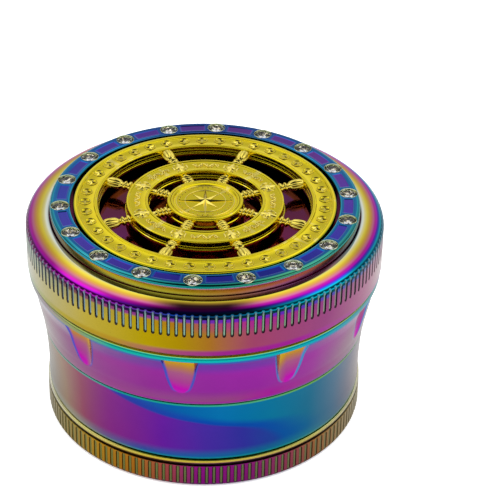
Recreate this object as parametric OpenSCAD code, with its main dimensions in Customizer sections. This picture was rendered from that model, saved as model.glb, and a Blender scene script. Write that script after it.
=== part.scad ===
// Four-part herb grinder with a ship's-wheel spinner in its lid.
// Millimetres, +Z up, origin at the centre of the bottom face.

/* [Overall] */
// Outer diameter of the lid, the widest piece
lid_d = 63; // [62.8:0.1:63.6]
// Height of the closed grinder
total_h = 41.2; // [41.1:0.1:42]

/* [Bottom cup] */
// Outer diameter of the knurled cup
cup_d = 57.2; // [57:0.1:57.6]
// Height of the cup
cup_h = 5.6; // [5.5:0.1:5.7]
// Thickness of the cup's floor
cup_floor = 1.6; // [1.2:0.1:1.8]
// Number of grooves in the cup's knurl
cup_grooves = 142; // [120:2:150]

/* [Sieve chamber] */
// Outer diameter of the sieve chamber
sieve_d = 56.7; // [56.4:0.1:56.9]
// Height of the ledge that carries the screen
ledge_z = 7.4; // [7.2:0.1:7.6]

/* [Grinding chamber] */
// Outer diameter of the rounded shoulder
chamber_d_top = 62.6; // [62.2:0.1:62.8]
// Outer diameter at the lower seam
chamber_d_bottom = 57.9; // [57.7:0.1:58]
// Number of flutes cut in the outside
flutes = 10; // [6:1:10]
// Depth of a flute at its top
flute_depth = 1.9; // [1.6:0.05:2.0]
// Radius of the holes in the plate
hole_r = 1.7; // [1.4:0.1:1.8]

/* [Teeth] */
// Radial width of a diamond tooth
tooth_rad = 2.3; // [2:0.1:2.3]
// Tangential length of a diamond tooth
tooth_tan = 3.8; // [3:0.1:3.8]

/* [Lid] */
// Number of vertical grooves round the lid
lid_grooves = 150; // [120:2:160]
// Height of the lid's vertical grooves
lid_groove_h = 3.9; // [3:0.1:4]

/* [Stone ring] */
// Outer radius of the raised ring
ring_ro = 27.2; // [27.1:0.05:27.25]
// Inner radius of the raised ring
ring_ri = 23.65; // [23.6:0.05:23.7]
// Number of stones
stones = 18; // [12:1:18]
// Radius of a stone's girdle
stone_r = 1.5; // [1.3:0.05:1.5]

/* [Wheel] */
// Outer radius of the spinning wheel
wheel_r = 23.07; // [22.9:0.01:23.2]
// Number of spokes
spokes = 8; // [6:1:8]
// Number of studs on the rim
studs = 40; // [24:1:40]

/* [Thread] */
// Rise of the screw threads in one turn
pitch = 1.6; // [1.6:0.1:1.6]

/* [Hidden] */

lid_r = lid_d/2;
cup_r = cup_d/2;
sieve_r = sieve_d/2;
cha_rt = chamber_d_top/2;
cha_rb = chamber_d_bottom/2;

seam = 0.15;                    // gap drawn at each screwed seam
sieve_z0 = cup_h + seam;        // underside of the sieve chamber's skirt
sieve_z1 = 17.95;               // top of the sieve chamber
cha_z0 = sieve_z1 + seam;       // underside of the grinding chamber's skirt
cha_shoulder = 29.8;            // top of the shoulder under the lid
cha_round = 28.65;              // where the shoulder's rounding starts
neck_r = 28.6;                  // outside of the neck inside the lid
neck_ri = 26.9;                 // bore of the grinding chamber
neck_top = 35.9;
plate_z0 = 20.4;                // plate with the holes
plate_z1 = 22.9;
spigot_h = 3.25;                // length of the male thread sleeves
core_r = 25.8;                  // root radius of the male threads
male_r = 26.55;                 // crest radius of the male threads
fem_r = 26.85;                  // root radius of the female threads
fem_crest = 26.12;              // crest radius of the female threads
sleeve_ri = 24.4;               // bore of the sleeves

lid_z0 = total_h - 11.15;       // lower edge of the lid
lid_ri = 29.2;                  // bore of the lid's skirt
ceil_z = total_h - 5;           // ceiling inside the lid
floor_z = total_h - 3.2;        // floor of the wheel's recess
edge_z = total_h - 3.8;         // where the lid's shoulder starts
foot_z = total_h - 2;           // where the shoulder meets the stone ring
foot_r = 27.3;

boss_r = 5;                     // centre bosses that hold the magnets
magnet_r = 4;
lid_boss_z = 25.6;
cha_boss_z = 25.2;

wheel_top = total_h - 0.12;
wheel_t = 1.85;
wheel_z0 = wheel_top - wheel_t;
rim_ri = 18.82;
mid_ro = 13.83;
mid_ri = 10.03;
hub_r = 6.7;

// tooth rings: [radius, count, phase]
lid_rings = [[8.9, 5, 9], [14.9, 9, 0], [20.9, 12, 7]];
cha_rings = [[11.9, 6, 15], [17.9, 10, 4], [24.3, 14, 12.857]];

$fn = 96;

// ---- helpers ----
function arc_pts(cx, cy, rx, ry, a0, a1, n) =
    [for (i = [0:n]) let (a = a0 + (a1 - a0)*i/n) [cx + rx*cos(a), cy + ry*sin(a)]];

module ring(ri, ro, z0, z1) {
    translate([0, 0, z0]) difference() {
        cylinder(r = ro, h = z1 - z0);
        translate([0, 0, -1]) cylinder(r = ri, h = z1 - z0 + 2);
    }
}

module disc(r, z0, z1) translate([0, 0, z0]) cylinder(r = r, h = z1 - z0);

// helical ridge of trapezoid section; root_r lies inside the wall it grows from
module thread_ridge(root_r, crest_r, z0, turns, phase = 0, steps = 48) {
    n = round(turns*steps);
    wr = 0.42; wc = 0.22;
    function crest(i) = let (t = min(1, min(i, n - i)/6)) root_r + (crest_r - root_r)*(0.45 + 0.55*t);
    pts = [for (i = [0:n]) let (a = phase + i*360/steps, z = z0 + pitch*i/steps, c = crest(i))
           each [[root_r*cos(a), root_r*sin(a), z - wr],
                 [c*cos(a), c*sin(a), z - wc],
                 [c*cos(a), c*sin(a), z + wc],
                 [root_r*cos(a), root_r*sin(a), z + wr]]];
    out = crest_r > root_r;
    side = [for (i = [0:n - 1], k = [0:3]) let (a = 4*i + k, b = 4*i + (k + 1)%4)
            each (out ? [[a, b, b + 4], [a, b + 4, a + 4]] : [[a, b + 4, b], [a, a + 4, b + 4]])];
    caps = out ? [[0, 3, 2, 1], [4*n, 4*n + 1, 4*n + 2, 4*n + 3]]
               : [[0, 1, 2, 3], [4*n, 4*n + 3, 4*n + 2, 4*n + 1]];
    polyhedron(points = pts, faces = concat(side, caps), convexity = 6);
}

module diamond(z0, z1) {
    translate([0, 0, z0]) linear_extrude(height = z1 - z0)
        polygon([[tooth_rad/2, 0], [0, tooth_tan/2], [-tooth_rad/2, 0], [0, -tooth_tan/2]]);
}

module teeth(rings, z0, z1) {
    for (g = rings, i = [0:g[1] - 1])
        rotate([0, 0, g[2] + i*360/g[1]]) translate([g[0], 0, 0]) diamond(z0, z1);
}

// ---- bottom cup ----
module bottom_cup() color([0.62, 0.45, 0.18]) {
    difference() {
        rotate_extrude() polygon([[0, 0], [cup_r - 0.5, 0], [cup_r, 0.5], [cup_r, 4.35],
            [cup_r - 0.4, 4.5], [cup_r - 0.4, 4.7], [cup_r - 0.05, 4.85], [cup_r - 0.05, cup_h - 0.2],
            [cup_r - 0.25, cup_h], [fem_r + 0.15, cup_h], [fem_r, cup_h - 0.15], [fem_r, 2.2],
            [25.4, 2.2], [25.4, cup_floor + 0.5], [24.9, cup_floor], [0, cup_floor]]);
        for (i = [0:cup_grooves - 1]) rotate([0, 0, i*360/cup_grooves])
            translate([cup_r + 0.06, 0, 0.35]) cylinder(r = 0.34, h = 3.95, $fn = 16);
    }
    thread_ridge(fem_r + 0.3, fem_crest, 3.1, 1.3, phase = 180);
}

// ---- sieve chamber and its screen ----
module sieve_chamber() color([0.24, 0.2, 0.7]) {
    difference() {
        rotate_extrude() polygon([[sleeve_ri, sieve_z0 - spigot_h - 0.1], [core_r - 0.3, sieve_z0 - spigot_h - 0.1],
            [core_r, sieve_z0 - spigot_h + 0.2], [core_r, sieve_z0],
            [sieve_r - 0.35, sieve_z0], [sieve_r - 0.05, sieve_z0 + 0.3], [sieve_r, sieve_z0 + 2],
            [sieve_r, 11], [sieve_r + 0.15, 14], [sieve_r + 0.35, 16.2], [sieve_r + 0.52, sieve_z1 - 0.25],
            [sieve_r + 0.3, sieve_z1],
            [fem_r + 0.15, sieve_z1], [fem_r, sieve_z1 - 0.15], [fem_r, 14.55], [25.6, 14.55],
            [25.6, 9.0], [25.95, 9.0], [25.95, 7.75], [25.6, 7.75], [25.6, ledge_z],
            [24.0, ledge_z], [24.0, ledge_z - 0.8], [sleeve_ri, ledge_z - 1.2]]);
    }
    thread_ridge(core_r - 0.3, male_r, 3.1, 1.3, phase = 0);
    thread_ridge(fem_r + 0.3, fem_crest, 15.45, 1.3, phase = 180);
}

module mesh_screen() color([0.6, 0.6, 0.6]) disc(25.4, ledge_z + 0.05, ledge_z + 0.35);

// split spring ring that holds the screen on its ledge
module screen_retaining_ring() color([0.7, 0.7, 0.72]) difference() {
    ring(24.6, 25.8, 7.82, 8.92);
    translate([24, -0.75, 7]) cube([3, 1.5, 3]);
}

// ---- grinding chamber ----
module flute() {
    // upright round-bottomed flute with a ceiling under the shoulder; its lower
    // end is a ball, so it runs out through the tapered wall in a rounded tip
    rr = 3.5;
    x = cha_rt - 0.2 - flute_depth + rr;
    translate([x, 0, 21.8]) {
        cylinder(r = rr, h = cha_round - 0.1 - 21.8);
        sphere(r = rr);
    }
}

module chamber_profile() polygon(concat(
    [[sleeve_ri, cha_z0 - spigot_h - 0.1], [core_r - 0.3, cha_z0 - spigot_h - 0.1],
     [core_r, cha_z0 - spigot_h + 0.2], [core_r, cha_z0],
     [cha_rb - 0.25, cha_z0], [cha_rb, cha_z0 + 0.25],
     [cha_rb + 0.3, 20.2], [cha_rb + 0.74, 22.2], [cha_rb + 1.16, 24.2], [cha_rb + 1.52, 26.2],
     [cha_rb + 1.95, 27.6]],
    arc_pts(cha_rt - 1.1, cha_round, 1.1, cha_shoulder - cha_round, 0, 90, 7),
    [[30.1, cha_shoulder], [30.1, 29.15], [neck_r, 29.15], [neck_r, 31.4], [neck_r - 0.4, 31.4], [neck_r - 0.4, 34],
     [neck_r, 34], [neck_r, neck_top - 0.4], [neck_r - 0.4, neck_top],
     [neck_ri + 0.3, neck_top], [neck_ri, neck_top - 0.3], [neck_ri, plate_z1],
     [boss_r, plate_z1], [boss_r, cha_boss_z], [magnet_r + 0.1, cha_boss_z],
     [magnet_r + 0.1, plate_z1 + 0.15], [0, plate_z1 + 0.15], [0, plate_z0], [sleeve_ri, plate_z0]]));

module grinding_chamber() color([0.56, 0.16, 0.64]) {
    difference() {
        rotate_extrude() chamber_profile();
        for (i = [0:flutes - 1]) rotate([0, 0, -97.5 + i*360/flutes]) flute();
        for (i = [0:11]) rotate([0, 0, 20 + i*30]) translate([20.9, 0, plate_z0 - 1]) cylinder(r = hole_r, h = 5, $fn = 48);
        for (i = [0:7]) rotate([0, 0, 10 + i*45]) translate([14.9, 0, plate_z0 - 1]) cylinder(r = hole_r, h = 5, $fn = 48);
    }
    thread_ridge(core_r - 0.3, male_r, 15.45, 1.3, phase = 0);
}

module chamber_teeth() color([0.5, 0.3, 0.6]) teeth(cha_rings, plate_z1, total_h - 5.55);

module chamber_magnet() color([0.75, 0.75, 0.78]) disc(magnet_r, plate_z1 + 0.25, cha_boss_z - 0.05);

// nylon washer that the lid's skirt turns on, in the corner of the neck
module glide_ring() color([0.9, 0.9, 0.86]) ring(neck_r + 0.08, 30.0, 29.17, lid_z0 - 0.06);

// ---- lid ----
module lid_shell() color([0.6, 0.3, 0.5]) {
    difference() {
        union() {
            rotate_extrude() polygon(concat(
                [[lid_ri, lid_z0 + 0.3], [lid_ri + 0.3, lid_z0], [lid_r - 0.3, lid_z0], [lid_r, lid_z0 + 0.3]],
                arc_pts(foot_r, edge_z, lid_r - foot_r, foot_z - edge_z, 0, 90, 10),
                [[foot_r, floor_z], [0, floor_z], [0, ceil_z], [lid_ri, ceil_z]]));
            disc(boss_r, lid_boss_z, ceil_z + 0.5);
        }
        for (i = [0:lid_grooves - 1]) rotate([0, 0, i*360/lid_grooves])
            translate([lid_r + 0.06, 0, edge_z - lid_groove_h + 0.4]) cylinder(r = 0.32, h = lid_groove_h, $fn = 16);
        disc(magnet_r + 0.1, lid_boss_z - 1, lid_boss_z + 2.2);
        disc(1.5, 31, floor_z + 1);
    }
}

module lid_teeth() color([0.3, 0.25, 0.5]) teeth(lid_rings, plate_z1 + 0.5, ceil_z);

module lid_magnet() color([0.78, 0.78, 0.8]) disc(magnet_r, lid_boss_z - 0.08, lid_boss_z + 2.1);

// ---- stone ring ----
module stone_ring() color([0.06, 0.38, 0.63]) difference() {
    rotate_extrude() polygon(concat(
        [[ring_ri, floor_z], [ring_ro, floor_z]],
        arc_pts(ring_ro - 0.55, total_h - 0.55, 0.55, 0.55, 0, 90, 4),
        arc_pts(ring_ri + 0.3, total_h - 0.3, 0.3, 0.3, 90, 180, 3)));
    for (i = [0:stones - 1]) rotate([0, 0, 5.6 + i*360/stones])
        translate([25.4, 0, total_h - 1.1]) cylinder(r = stone_r + 0.1, h = 2, $fn = 48);
    for (i = [0:stones - 1]) translate([0, 0, total_h - 0.12])
        rotate_extrude(start = 5.6 + (i + 0.5)*360/stones - 5, angle = 10)
            translate([24.25, 0]) square([1.75, 1]);
}

module stone() {
    // flat-backed round stone: pavilion, girdle, crown and table
    rotate_extrude($fn = 48) polygon([[0, 0], [0.75*stone_r, 0], [stone_r, 0.55], [stone_r, 0.7],
        [0.62*stone_r, 1.03], [0, 1.03]]);
}

module rhinestones() color([0.9, 0.93, 0.95, 0.8])
    for (i = [0:stones - 1]) rotate([0, 0, 5.6 + i*360/stones])
        translate([25.4, 0, total_h - 1.1]) stone();

// ---- wheel on its small ball bearing ----
module axle_spacer() color([0.7, 0.7, 0.7]) ring(1.5, 1.95, floor_z, floor_z + 0.3);

brg_z0 = total_h - 2.9;         // underside of the bearing
brg_h = 1.6;
ball_z = brg_z0 + brg_h/2;
pitch_r = 2.25;

module groove_torus() translate([0, 0, ball_z]) rotate_extrude() translate([pitch_r, 0]) circle(r = 0.43, $fn = 32);

module bearing_inner_race() color([0.75, 0.75, 0.76]) difference() {
    ring(1.5, 2.0, brg_z0, brg_z0 + brg_h);
    groove_torus();
}

module bearing_outer_race() color([0.75, 0.75, 0.76]) difference() {
    ring(2.5, 3.0, brg_z0, brg_z0 + brg_h);
    groove_torus();
}

module bearing_balls() color([0.8, 0.8, 0.82])
    for (i = [0:7]) rotate([0, 0, i*45]) translate([pitch_r, 0, ball_z]) sphere(r = 0.4, $fn = 32);

module bearing_cage() color([0.75, 0.6, 0.3]) difference() {
    ring(2.12, 2.38, brg_z0 + 0.2, brg_z0 + brg_h - 0.2);
    for (i = [0:7]) rotate([0, 0, i*45]) translate([pitch_r, 0, ball_z]) sphere(r = 0.43, $fn = 32);
}

// pan-head screw that clamps the inner race on the spacer
module axle_screw() color([0.72, 0.72, 0.74]) difference() {
    union() {
        disc(1.46, 31.4, brg_z0 + brg_h);
        disc(1.95, brg_z0 + brg_h, brg_z0 + brg_h + 0.5);
    }
    translate([-0.25, -3, brg_z0 + brg_h + 0.25]) cube([0.5, 6, 1]);
}

module spoke() {
    // turned handle between the middle ring and the rim, along +X
    z = wheel_z0 + 0.95;
    translate([mid_ro - 0.4, 0, z]) rotate([0, 90, 0]) rotate_extrude($fn = 40)
        polygon([[0, 0], [0.55, 0], [0.55, 0.7], [0.85, 0.9], [0.85, 1.2], [0.55, 1.4], [0.55, 1.6], [0.8, 1.8], [0.8, 2.1],
            [0.55, 2.3], [0.75, 3.0], [0.92, 4.2], [0.9, 5.0], [0.8, 5.9], [0, 5.9]]);
    // short ribbed spoke between the hub and the middle ring
    translate([hub_r - 0.4, 0, z]) rotate([0, 90, 0]) rotate_extrude($fn = 40)
        polygon([[0, 0], [0.6, 0], [0.6, 0.9], [0.9, 1.1], [0.9, 1.4], [0.65, 1.55], [0.9, 1.75], [0.9, 2.1], [0.65, 2.25],
            [0.85, 2.45], [0.85, 2.8], [0.55, 3.0], [0.55, 4.1], [0, 4.1]]);
}

// a flat ring with a thin ledge round both of its lower edges
module wheel_band(ri, ro) rotate_extrude() polygon([[ri - 0.22, wheel_z0], [ro + 0.22, wheel_z0],
    [ro + 0.22, wheel_z0 + 0.45], [ro, wheel_z0 + 0.55], [ro, wheel_top - 0.15], [ro - 0.15, wheel_top],
    [ri + 0.15, wheel_top], [ri, wheel_top - 0.15], [ri, wheel_z0 + 0.55], [ri - 0.22, wheel_z0 + 0.45]]);

module helm_wheel() color([0.85, 0.72, 0.12]) difference() {
    union() {
        // rim, straight outside
        rotate_extrude() polygon([[rim_ri - 0.22, wheel_z0], [wheel_r, wheel_z0], [wheel_r, wheel_top - 0.25],
            [wheel_r - 0.25, wheel_top], [wheel_r - 0.75, wheel_top], [wheel_r - 0.9, wheel_top - 0.2],
            [rim_ri + 0.7, wheel_top - 0.2], [rim_ri + 0.55, wheel_top], [rim_ri + 0.15, wheel_top],
            [rim_ri, wheel_top - 0.17],
            [rim_ri, wheel_z0 + 0.55], [rim_ri - 0.22, wheel_z0 + 0.45]]);
        wheel_band(mid_ri, mid_ro);
        rotate_extrude() polygon([[0, wheel_z0], [hub_r + 0.2, wheel_z0], [hub_r + 0.2, wheel_z0 + 0.45],
            [hub_r, wheel_z0 + 0.55], [hub_r, wheel_top - 0.3], [hub_r - 0.3, wheel_top], [0, wheel_top]]);
        for (i = [0:spokes - 1]) rotate([0, 0, 22.5 + i*360/spokes]) spoke();
        // studs round the sunk band of the rim
        for (i = [0:studs - 1]) rotate([0, 0, 2 + i*360/studs])
            translate([21, 0, wheel_top - 0.4]) cylinder(r1 = 0.95, r2 = 0.2, h = 0.46, $fn = 24);
    }
    // eight panels of the middle ring
    for (i = [0:spokes - 1]) translate([0, 0, wheel_top - 0.15])
        rotate_extrude(start = 22.5 + (i + 0.5)*360/spokes - 14, angle = 28)
            translate([10.7, 0]) square([2.5, 1]);
    // counterbore for the medallion, and the bearing's seat
    disc(6.1, total_h - 0.82, total_h + 1);
    disc(3.0, wheel_z0 - 1, total_h);
}

module medallion_cap() color([0.85, 0.73, 0.15]) difference() {
    union() {
        rotate_extrude() polygon(concat([[0, total_h - 0.62], [6.05, total_h - 0.62], [6.05, total_h - 0.35]],
            [for (i = [0:5]) let (r = 5.8*(1 - i/5)) [r, total_h - 0.12 - 0.12*pow(r/5.8, 2)]]));
        // compass star
        translate([0, 0, total_h - 0.4]) linear_extrude(height = 0.4) polygon([for (i = [0:15])
            let (r = i%4 == 0 ? 4.7 : (i%2 == 0 ? 3.0 : 1.1)) [r*cos(i*22.5), r*sin(i*22.5)]]);
    }
    translate([0, 0, total_h - 1]) cylinder(r = 2.6, h = 0.5);
}

bottom_cup();
mesh_screen();
screen_retaining_ring();
sieve_chamber();
chamber_magnet();
grinding_chamber();
chamber_teeth();
glide_ring();
lid_magnet();
lid_shell();
lid_teeth();
stone_ring();
rhinestones();
axle_spacer();
bearing_inner_race();
axle_screw();
bearing_cage();
bearing_balls();
helm_wheel();
bearing_outer_race();
medallion_cap();
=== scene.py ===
import bpy, bmesh, math
import numpy as np
from mathutils import Vector, Matrix


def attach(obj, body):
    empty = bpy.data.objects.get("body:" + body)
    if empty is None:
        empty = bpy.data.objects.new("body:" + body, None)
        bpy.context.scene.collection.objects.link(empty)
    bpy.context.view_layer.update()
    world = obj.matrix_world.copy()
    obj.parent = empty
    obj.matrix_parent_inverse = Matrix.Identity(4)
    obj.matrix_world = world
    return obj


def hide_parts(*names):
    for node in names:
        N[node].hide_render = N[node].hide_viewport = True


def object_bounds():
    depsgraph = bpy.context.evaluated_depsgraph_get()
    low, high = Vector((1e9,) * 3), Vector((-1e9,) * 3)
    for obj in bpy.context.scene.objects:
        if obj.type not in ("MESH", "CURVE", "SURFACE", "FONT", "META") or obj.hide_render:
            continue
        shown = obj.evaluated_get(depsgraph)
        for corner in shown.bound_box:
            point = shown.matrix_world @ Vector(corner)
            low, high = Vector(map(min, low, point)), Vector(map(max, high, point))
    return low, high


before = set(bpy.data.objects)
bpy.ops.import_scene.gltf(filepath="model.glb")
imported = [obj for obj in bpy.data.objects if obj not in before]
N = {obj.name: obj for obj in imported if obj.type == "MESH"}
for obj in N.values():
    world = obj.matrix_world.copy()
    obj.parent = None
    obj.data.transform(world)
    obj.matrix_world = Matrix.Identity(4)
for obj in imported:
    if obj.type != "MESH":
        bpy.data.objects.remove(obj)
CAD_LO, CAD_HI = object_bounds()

MM = 0.001
PI = math.pi
scene = bpy.context.scene
scene.view_settings.view_transform = "Standard"
scene.view_settings.look = "None"

TOP = CAD_HI.z / MM                  # 41.2
LID_R = 31.5

# ------------------------------------------------------------------ camera
ELEV, DIST, FPX = math.radians(31.69), 353.6 * MM, 2017.9
ROLL, TX, TY = math.radians(-0.49), 204.9, 199.4


def make_camera():
    b = Vector((0, -math.cos(ELEV), math.sin(ELEV)))
    u = Vector((0, math.sin(ELEV), math.cos(ELEV)))
    r = Vector((1, 0, 0))
    ax, ay = math.atan((TX - 250) / FPX), math.atan((TY - 250) / FPX)
    d = -b
    r2 = math.cos(ax) * r + math.sin(ax) * d
    d2 = -math.sin(ax) * r + math.cos(ax) * d
    u3 = math.cos(ay) * u - math.sin(ay) * d2
    d3 = math.sin(ay) * u + math.cos(ay) * d2
    c, s = math.cos(ROLL), math.sin(ROLL)
    r4 = c * r2 - s * u3
    u4 = s * r2 + c * u3
    m = Matrix((r4, u4, -d3)).transposed().to_4x4()
    m.translation = Vector((0, 0, TOP * MM)) + b * DIST
    cam = bpy.data.objects.new("camera", bpy.data.cameras.new("camera"))
    scene.collection.objects.link(cam)
    cam.data.sensor_width = 36
    cam.data.lens = FPX / 500 * 36
    cam.data.clip_start, cam.data.clip_end = 0.01, 20
    cam.matrix_world = m
    scene.camera = cam


make_camera()

# ------------------------------------------------------------------ node helpers


class Mat:
    """Small helper that builds a node tree with a Principled shader."""

    def __init__(self, name):
        self.m = bpy.data.materials.new(name)
        self.m.use_nodes = True
        self.t = self.m.node_tree
        self.t.nodes.clear()
        self.out = self.node("ShaderNodeOutputMaterial")
        self.bsdf = self.node("ShaderNodeBsdfPrincipled")
        self.link(self.bsdf.outputs[0], self.out.inputs[0])
        self._cyl = None

    def node(self, kind, **kw):
        n = self.t.nodes.new(kind)
        for k, v in kw.items():
            setattr(n, k, v)
        return n

    def link(self, a, b):
        self.t.links.new(a, b)

    def put(self, sock, v):
        if hasattr(v, "is_linked"):
            self.link(v, sock)
        elif isinstance(v, (tuple, list)) and len(v) == 3 and sock.type == "RGBA":
            sock.default_value = (*v, 1)
        else:
            sock.default_value = v

    def math(self, op, a, b=None, c=None, clamp=False):
        n = self.node("ShaderNodeMath", operation=op, use_clamp=clamp)
        self.put(n.inputs[0], a)
        if b is not None:
            self.put(n.inputs[1], b)
        if c is not None:
            self.put(n.inputs[2], c)
        return n.outputs[0]

    def cyl(self):
        """azimuth 0..1 (0 = +X, 0.25 = +Y, 0.75 = front), radius in mm, height in mm"""
        if self._cyl is None:
            tc = self.node("ShaderNodeTexCoord")
            sp = self.node("ShaderNodeSeparateXYZ")
            self.link(tc.outputs["Object"], sp.inputs[0])
            x, y, z = sp.outputs
            a = self.math("ARCTAN2", y, x)
            az = self.math("FRACT", self.math("ADD", self.math("DIVIDE", a, 2 * PI), 1.0))
            rr = self.math("MULTIPLY", self.math("SQRT", self.math("ADD", self.math("MULTIPLY", x, x), self.math("MULTIPLY", y, y))), 1000.0)
            self._cyl = (az, rr, self.math("MULTIPLY", z, 1000.0), tc.outputs["Object"])
        return self._cyl

    def rng(self, v, a, b, c=0.0, d=1.0, smooth=False):
        n = self.node("ShaderNodeMapRange")
        n.interpolation_type = "SMOOTHSTEP" if smooth else "LINEAR"
        n.clamp = True
        self.put(n.inputs[0], v)
        n.inputs[1].default_value, n.inputs[2].default_value = a, b
        n.inputs[3].default_value, n.inputs[4].default_value = c, d
        return n.outputs[0]

    def ramp(self, fac, stops, interp="LINEAR"):
        n = self.node("ShaderNodeValToRGB")
        cr = n.color_ramp
        cr.interpolation = interp
        stops = sorted(stops)
        while len(cr.elements) < len(stops):
            cr.elements.new(0.5)
        for e, (p, c) in zip(cr.elements, stops):
            e.position = p
        for e, (p, c) in zip(cr.elements, stops):
            e.position = p
            e.color = (*c, 1)
        self.put(n.inputs[0], fac)
        return n.outputs[0]

    def mix(self, fac, a, b, mode="MIX"):
        n = self.node("ShaderNodeMix", data_type="RGBA", blend_type=mode)
        n.clamp_factor = True
        self.put(n.inputs[0], fac)
        self.put(n.inputs[6], a)
        self.put(n.inputs[7], b)
        return n.outputs[2]

    def noise(self, scale, detail=3.0, rough=0.5, vec=None):
        n = self.node("ShaderNodeTexNoise")
        self.put(n.inputs["Vector"], vec if vec is not None else self.cyl()[3])
        n.inputs["Scale"].default_value = scale
        n.inputs["Detail"].default_value = detail
        n.inputs["Roughness"].default_value = rough
        return n.outputs[0]

    def bump(self, height, strength, dist):
        n = self.node("ShaderNodeBump")
        n.inputs["Strength"].default_value = strength
        n.inputs["Distance"].default_value = dist
        self.put(n.inputs["Height"], height)
        self.link(n.outputs[0], self.bsdf.inputs["Normal"])
        return n

    def set(self, **kw):
        names = dict(base="Base Color", metal="Metallic", rough="Roughness", ior="IOR", trans="Transmission Weight",
                     coat="Coat Weight", coat_rough="Coat Roughness", spec="Specular IOR Level", aniso="Anisotropic")
        for k, v in kw.items():
            self.put(self.bsdf.inputs[names[k]], v)
        return self


def srgb(h):
    h = h.lstrip("#")
    out = []
    for i in (0, 2, 4):
        c = int(h[i:i + 2], 16) / 255
        out.append(c / 12.92 if c <= 0.04045 else ((c + 0.055) / 1.055) ** 2.4)
    return tuple(out)


def az_stops(pairs):
    """(azimuth in degrees, colour) round the whole circle, closed on itself"""
    s = sorted(((a % 360) / 360, srgb(c)) for a, c in pairs)
    first, last = s[0], s[-1]
    span = first[0] + 1 - last[0]
    t = (1 - last[0]) / span if span > 0 else 0
    seam = tuple(last[1][i] + (first[1][i] - last[1][i]) * t for i in range(3))
    out = [(0.0, seam)] if first[0] > 0 else []
    return out + s + [(1.0, seam if first[0] > 0 else first[1])]


def finish_metal(mt, base, rough=0.13, wear=0.25, orange=0.02):
    """Polished, vapour-coated metal: faint cloudiness, hairlines and orange peel."""
    cloud = mt.noise(260.0, 4.0, 0.6)
    fine = mt.noise(2600.0, 2.0, 0.5)
    base = mt.mix(mt.rng(cloud, 0.3, 0.7, 0.0, 0.22), base, mt.mix(1.0, base, (1.25, 1.2, 1.15), "MULTIPLY"))
    mt.set(base=base, metal=1.0)
    mt.put(mt.bsdf.inputs["Roughness"], mt.rng(mt.math("ADD", mt.math("MULTIPLY", cloud, 0.6), mt.math("MULTIPLY", fine, 0.4)), 0.35, 0.65, rough * 0.75, rough * 1.35))
    mt.bump(mt.math("ADD", mt.math("MULTIPLY", cloud, 0.7), mt.math("MULTIPLY", fine, 0.3)), 0.25, orange * MM)
    return mt.m


# ------------------------------------------------------------------ mesh helpers


def obj_from(name, verts, faces, mats, idx=None, attrs=None, sharp=35.0, smooth=True):
    me = bpy.data.meshes.new(name)
    me.from_pydata([tuple(v) for v in (np.asarray(verts) * MM)], [], [tuple(f) for f in faces])
    for m in mats:
        me.materials.append(m)
    if idx is not None:
        me.polygons.foreach_set("material_index", np.asarray(idx, dtype=np.int32))
    if attrs:
        for k, v in attrs.items():
            a = me.attributes.new(k, "FLOAT", "POINT")
            a.data.foreach_set("value", np.asarray(v, dtype=np.float32))
    bm = bmesh.new()
    bm.from_mesh(me)
    bmesh.ops.remove_doubles(bm, verts=bm.verts, dist=2e-7)
    bmesh.ops.dissolve_degenerate(bm, edges=bm.edges, dist=1e-7)
    bmesh.ops.recalc_face_normals(bm, faces=bm.faces)
    bm.to_mesh(me)
    bm.free()
    me.polygons.foreach_set("use_smooth", [smooth] * len(me.polygons))
    if smooth:
        me.set_sharp_from_angle(angle=math.radians(sharp))
    o = bpy.data.objects.new(name, me)
    scene.collection.objects.link(o)
    return o


def rounded(pts, seg=4):
    """Closed outline in (r, z[, radius[, tag]]); rounds each corner that has a radius. Returns points and the tag of the edge that starts at each."""
    n = len(pts)
    out, tags = [], []
    for i, p in enumerate(pts):
        r = p[2] if len(p) > 2 else 0
        tag = p[3] if len(p) > 3 else None
        a, b, c = np.array(pts[i - 1][:2], float), np.array(p[:2], float), np.array(pts[(i + 1) % n][:2], float)
        if not r:
            out.append(b)
            tags.append(tag)
            continue
        u, v = a - b, c - b
        lu, lv = np.linalg.norm(u), np.linalg.norm(v)
        u, v = u / lu, v / lv
        ang = math.acos(max(-1, min(1, float(u @ v))))
        d = min(r / math.tan(ang / 2), lu * 0.49, lv * 0.49)
        rr = d * math.tan(ang / 2)
        bis = (u + v) / np.linalg.norm(u + v)
        cen = b + bis * (rr / math.sin(ang / 2))
        p0, p1 = b + u * d, b + v * d
        a0 = math.atan2(*(p0 - cen)[::-1])
        a1 = math.atan2(*(p1 - cen)[::-1])
        da = (a1 - a0 + PI) % (2 * PI) - PI
        for k in range(seg + 1):
            t = a0 + da * k / seg
            out.append(cen + rr * np.array([math.cos(t), math.sin(t)]))
            tags.append(tag)
    return np.array(out), tags


def split_long(pts, tags, step):
    """Adds points so that no edge of the closed outline is longer than step (or step[tag])."""
    out, tg = [], []
    n = len(pts)
    for i in range(n):
        a, b = pts[i], pts[(i + 1) % n]
        s = step.get(tags[i], 1e9) if isinstance(step, dict) else step
        k = max(1, int(math.ceil(np.linalg.norm(b - a) / s)))
        for j in range(k):
            out.append(a + (b - a) * j / k)
            tg.append(tags[i])
    return np.array(out), tg


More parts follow.
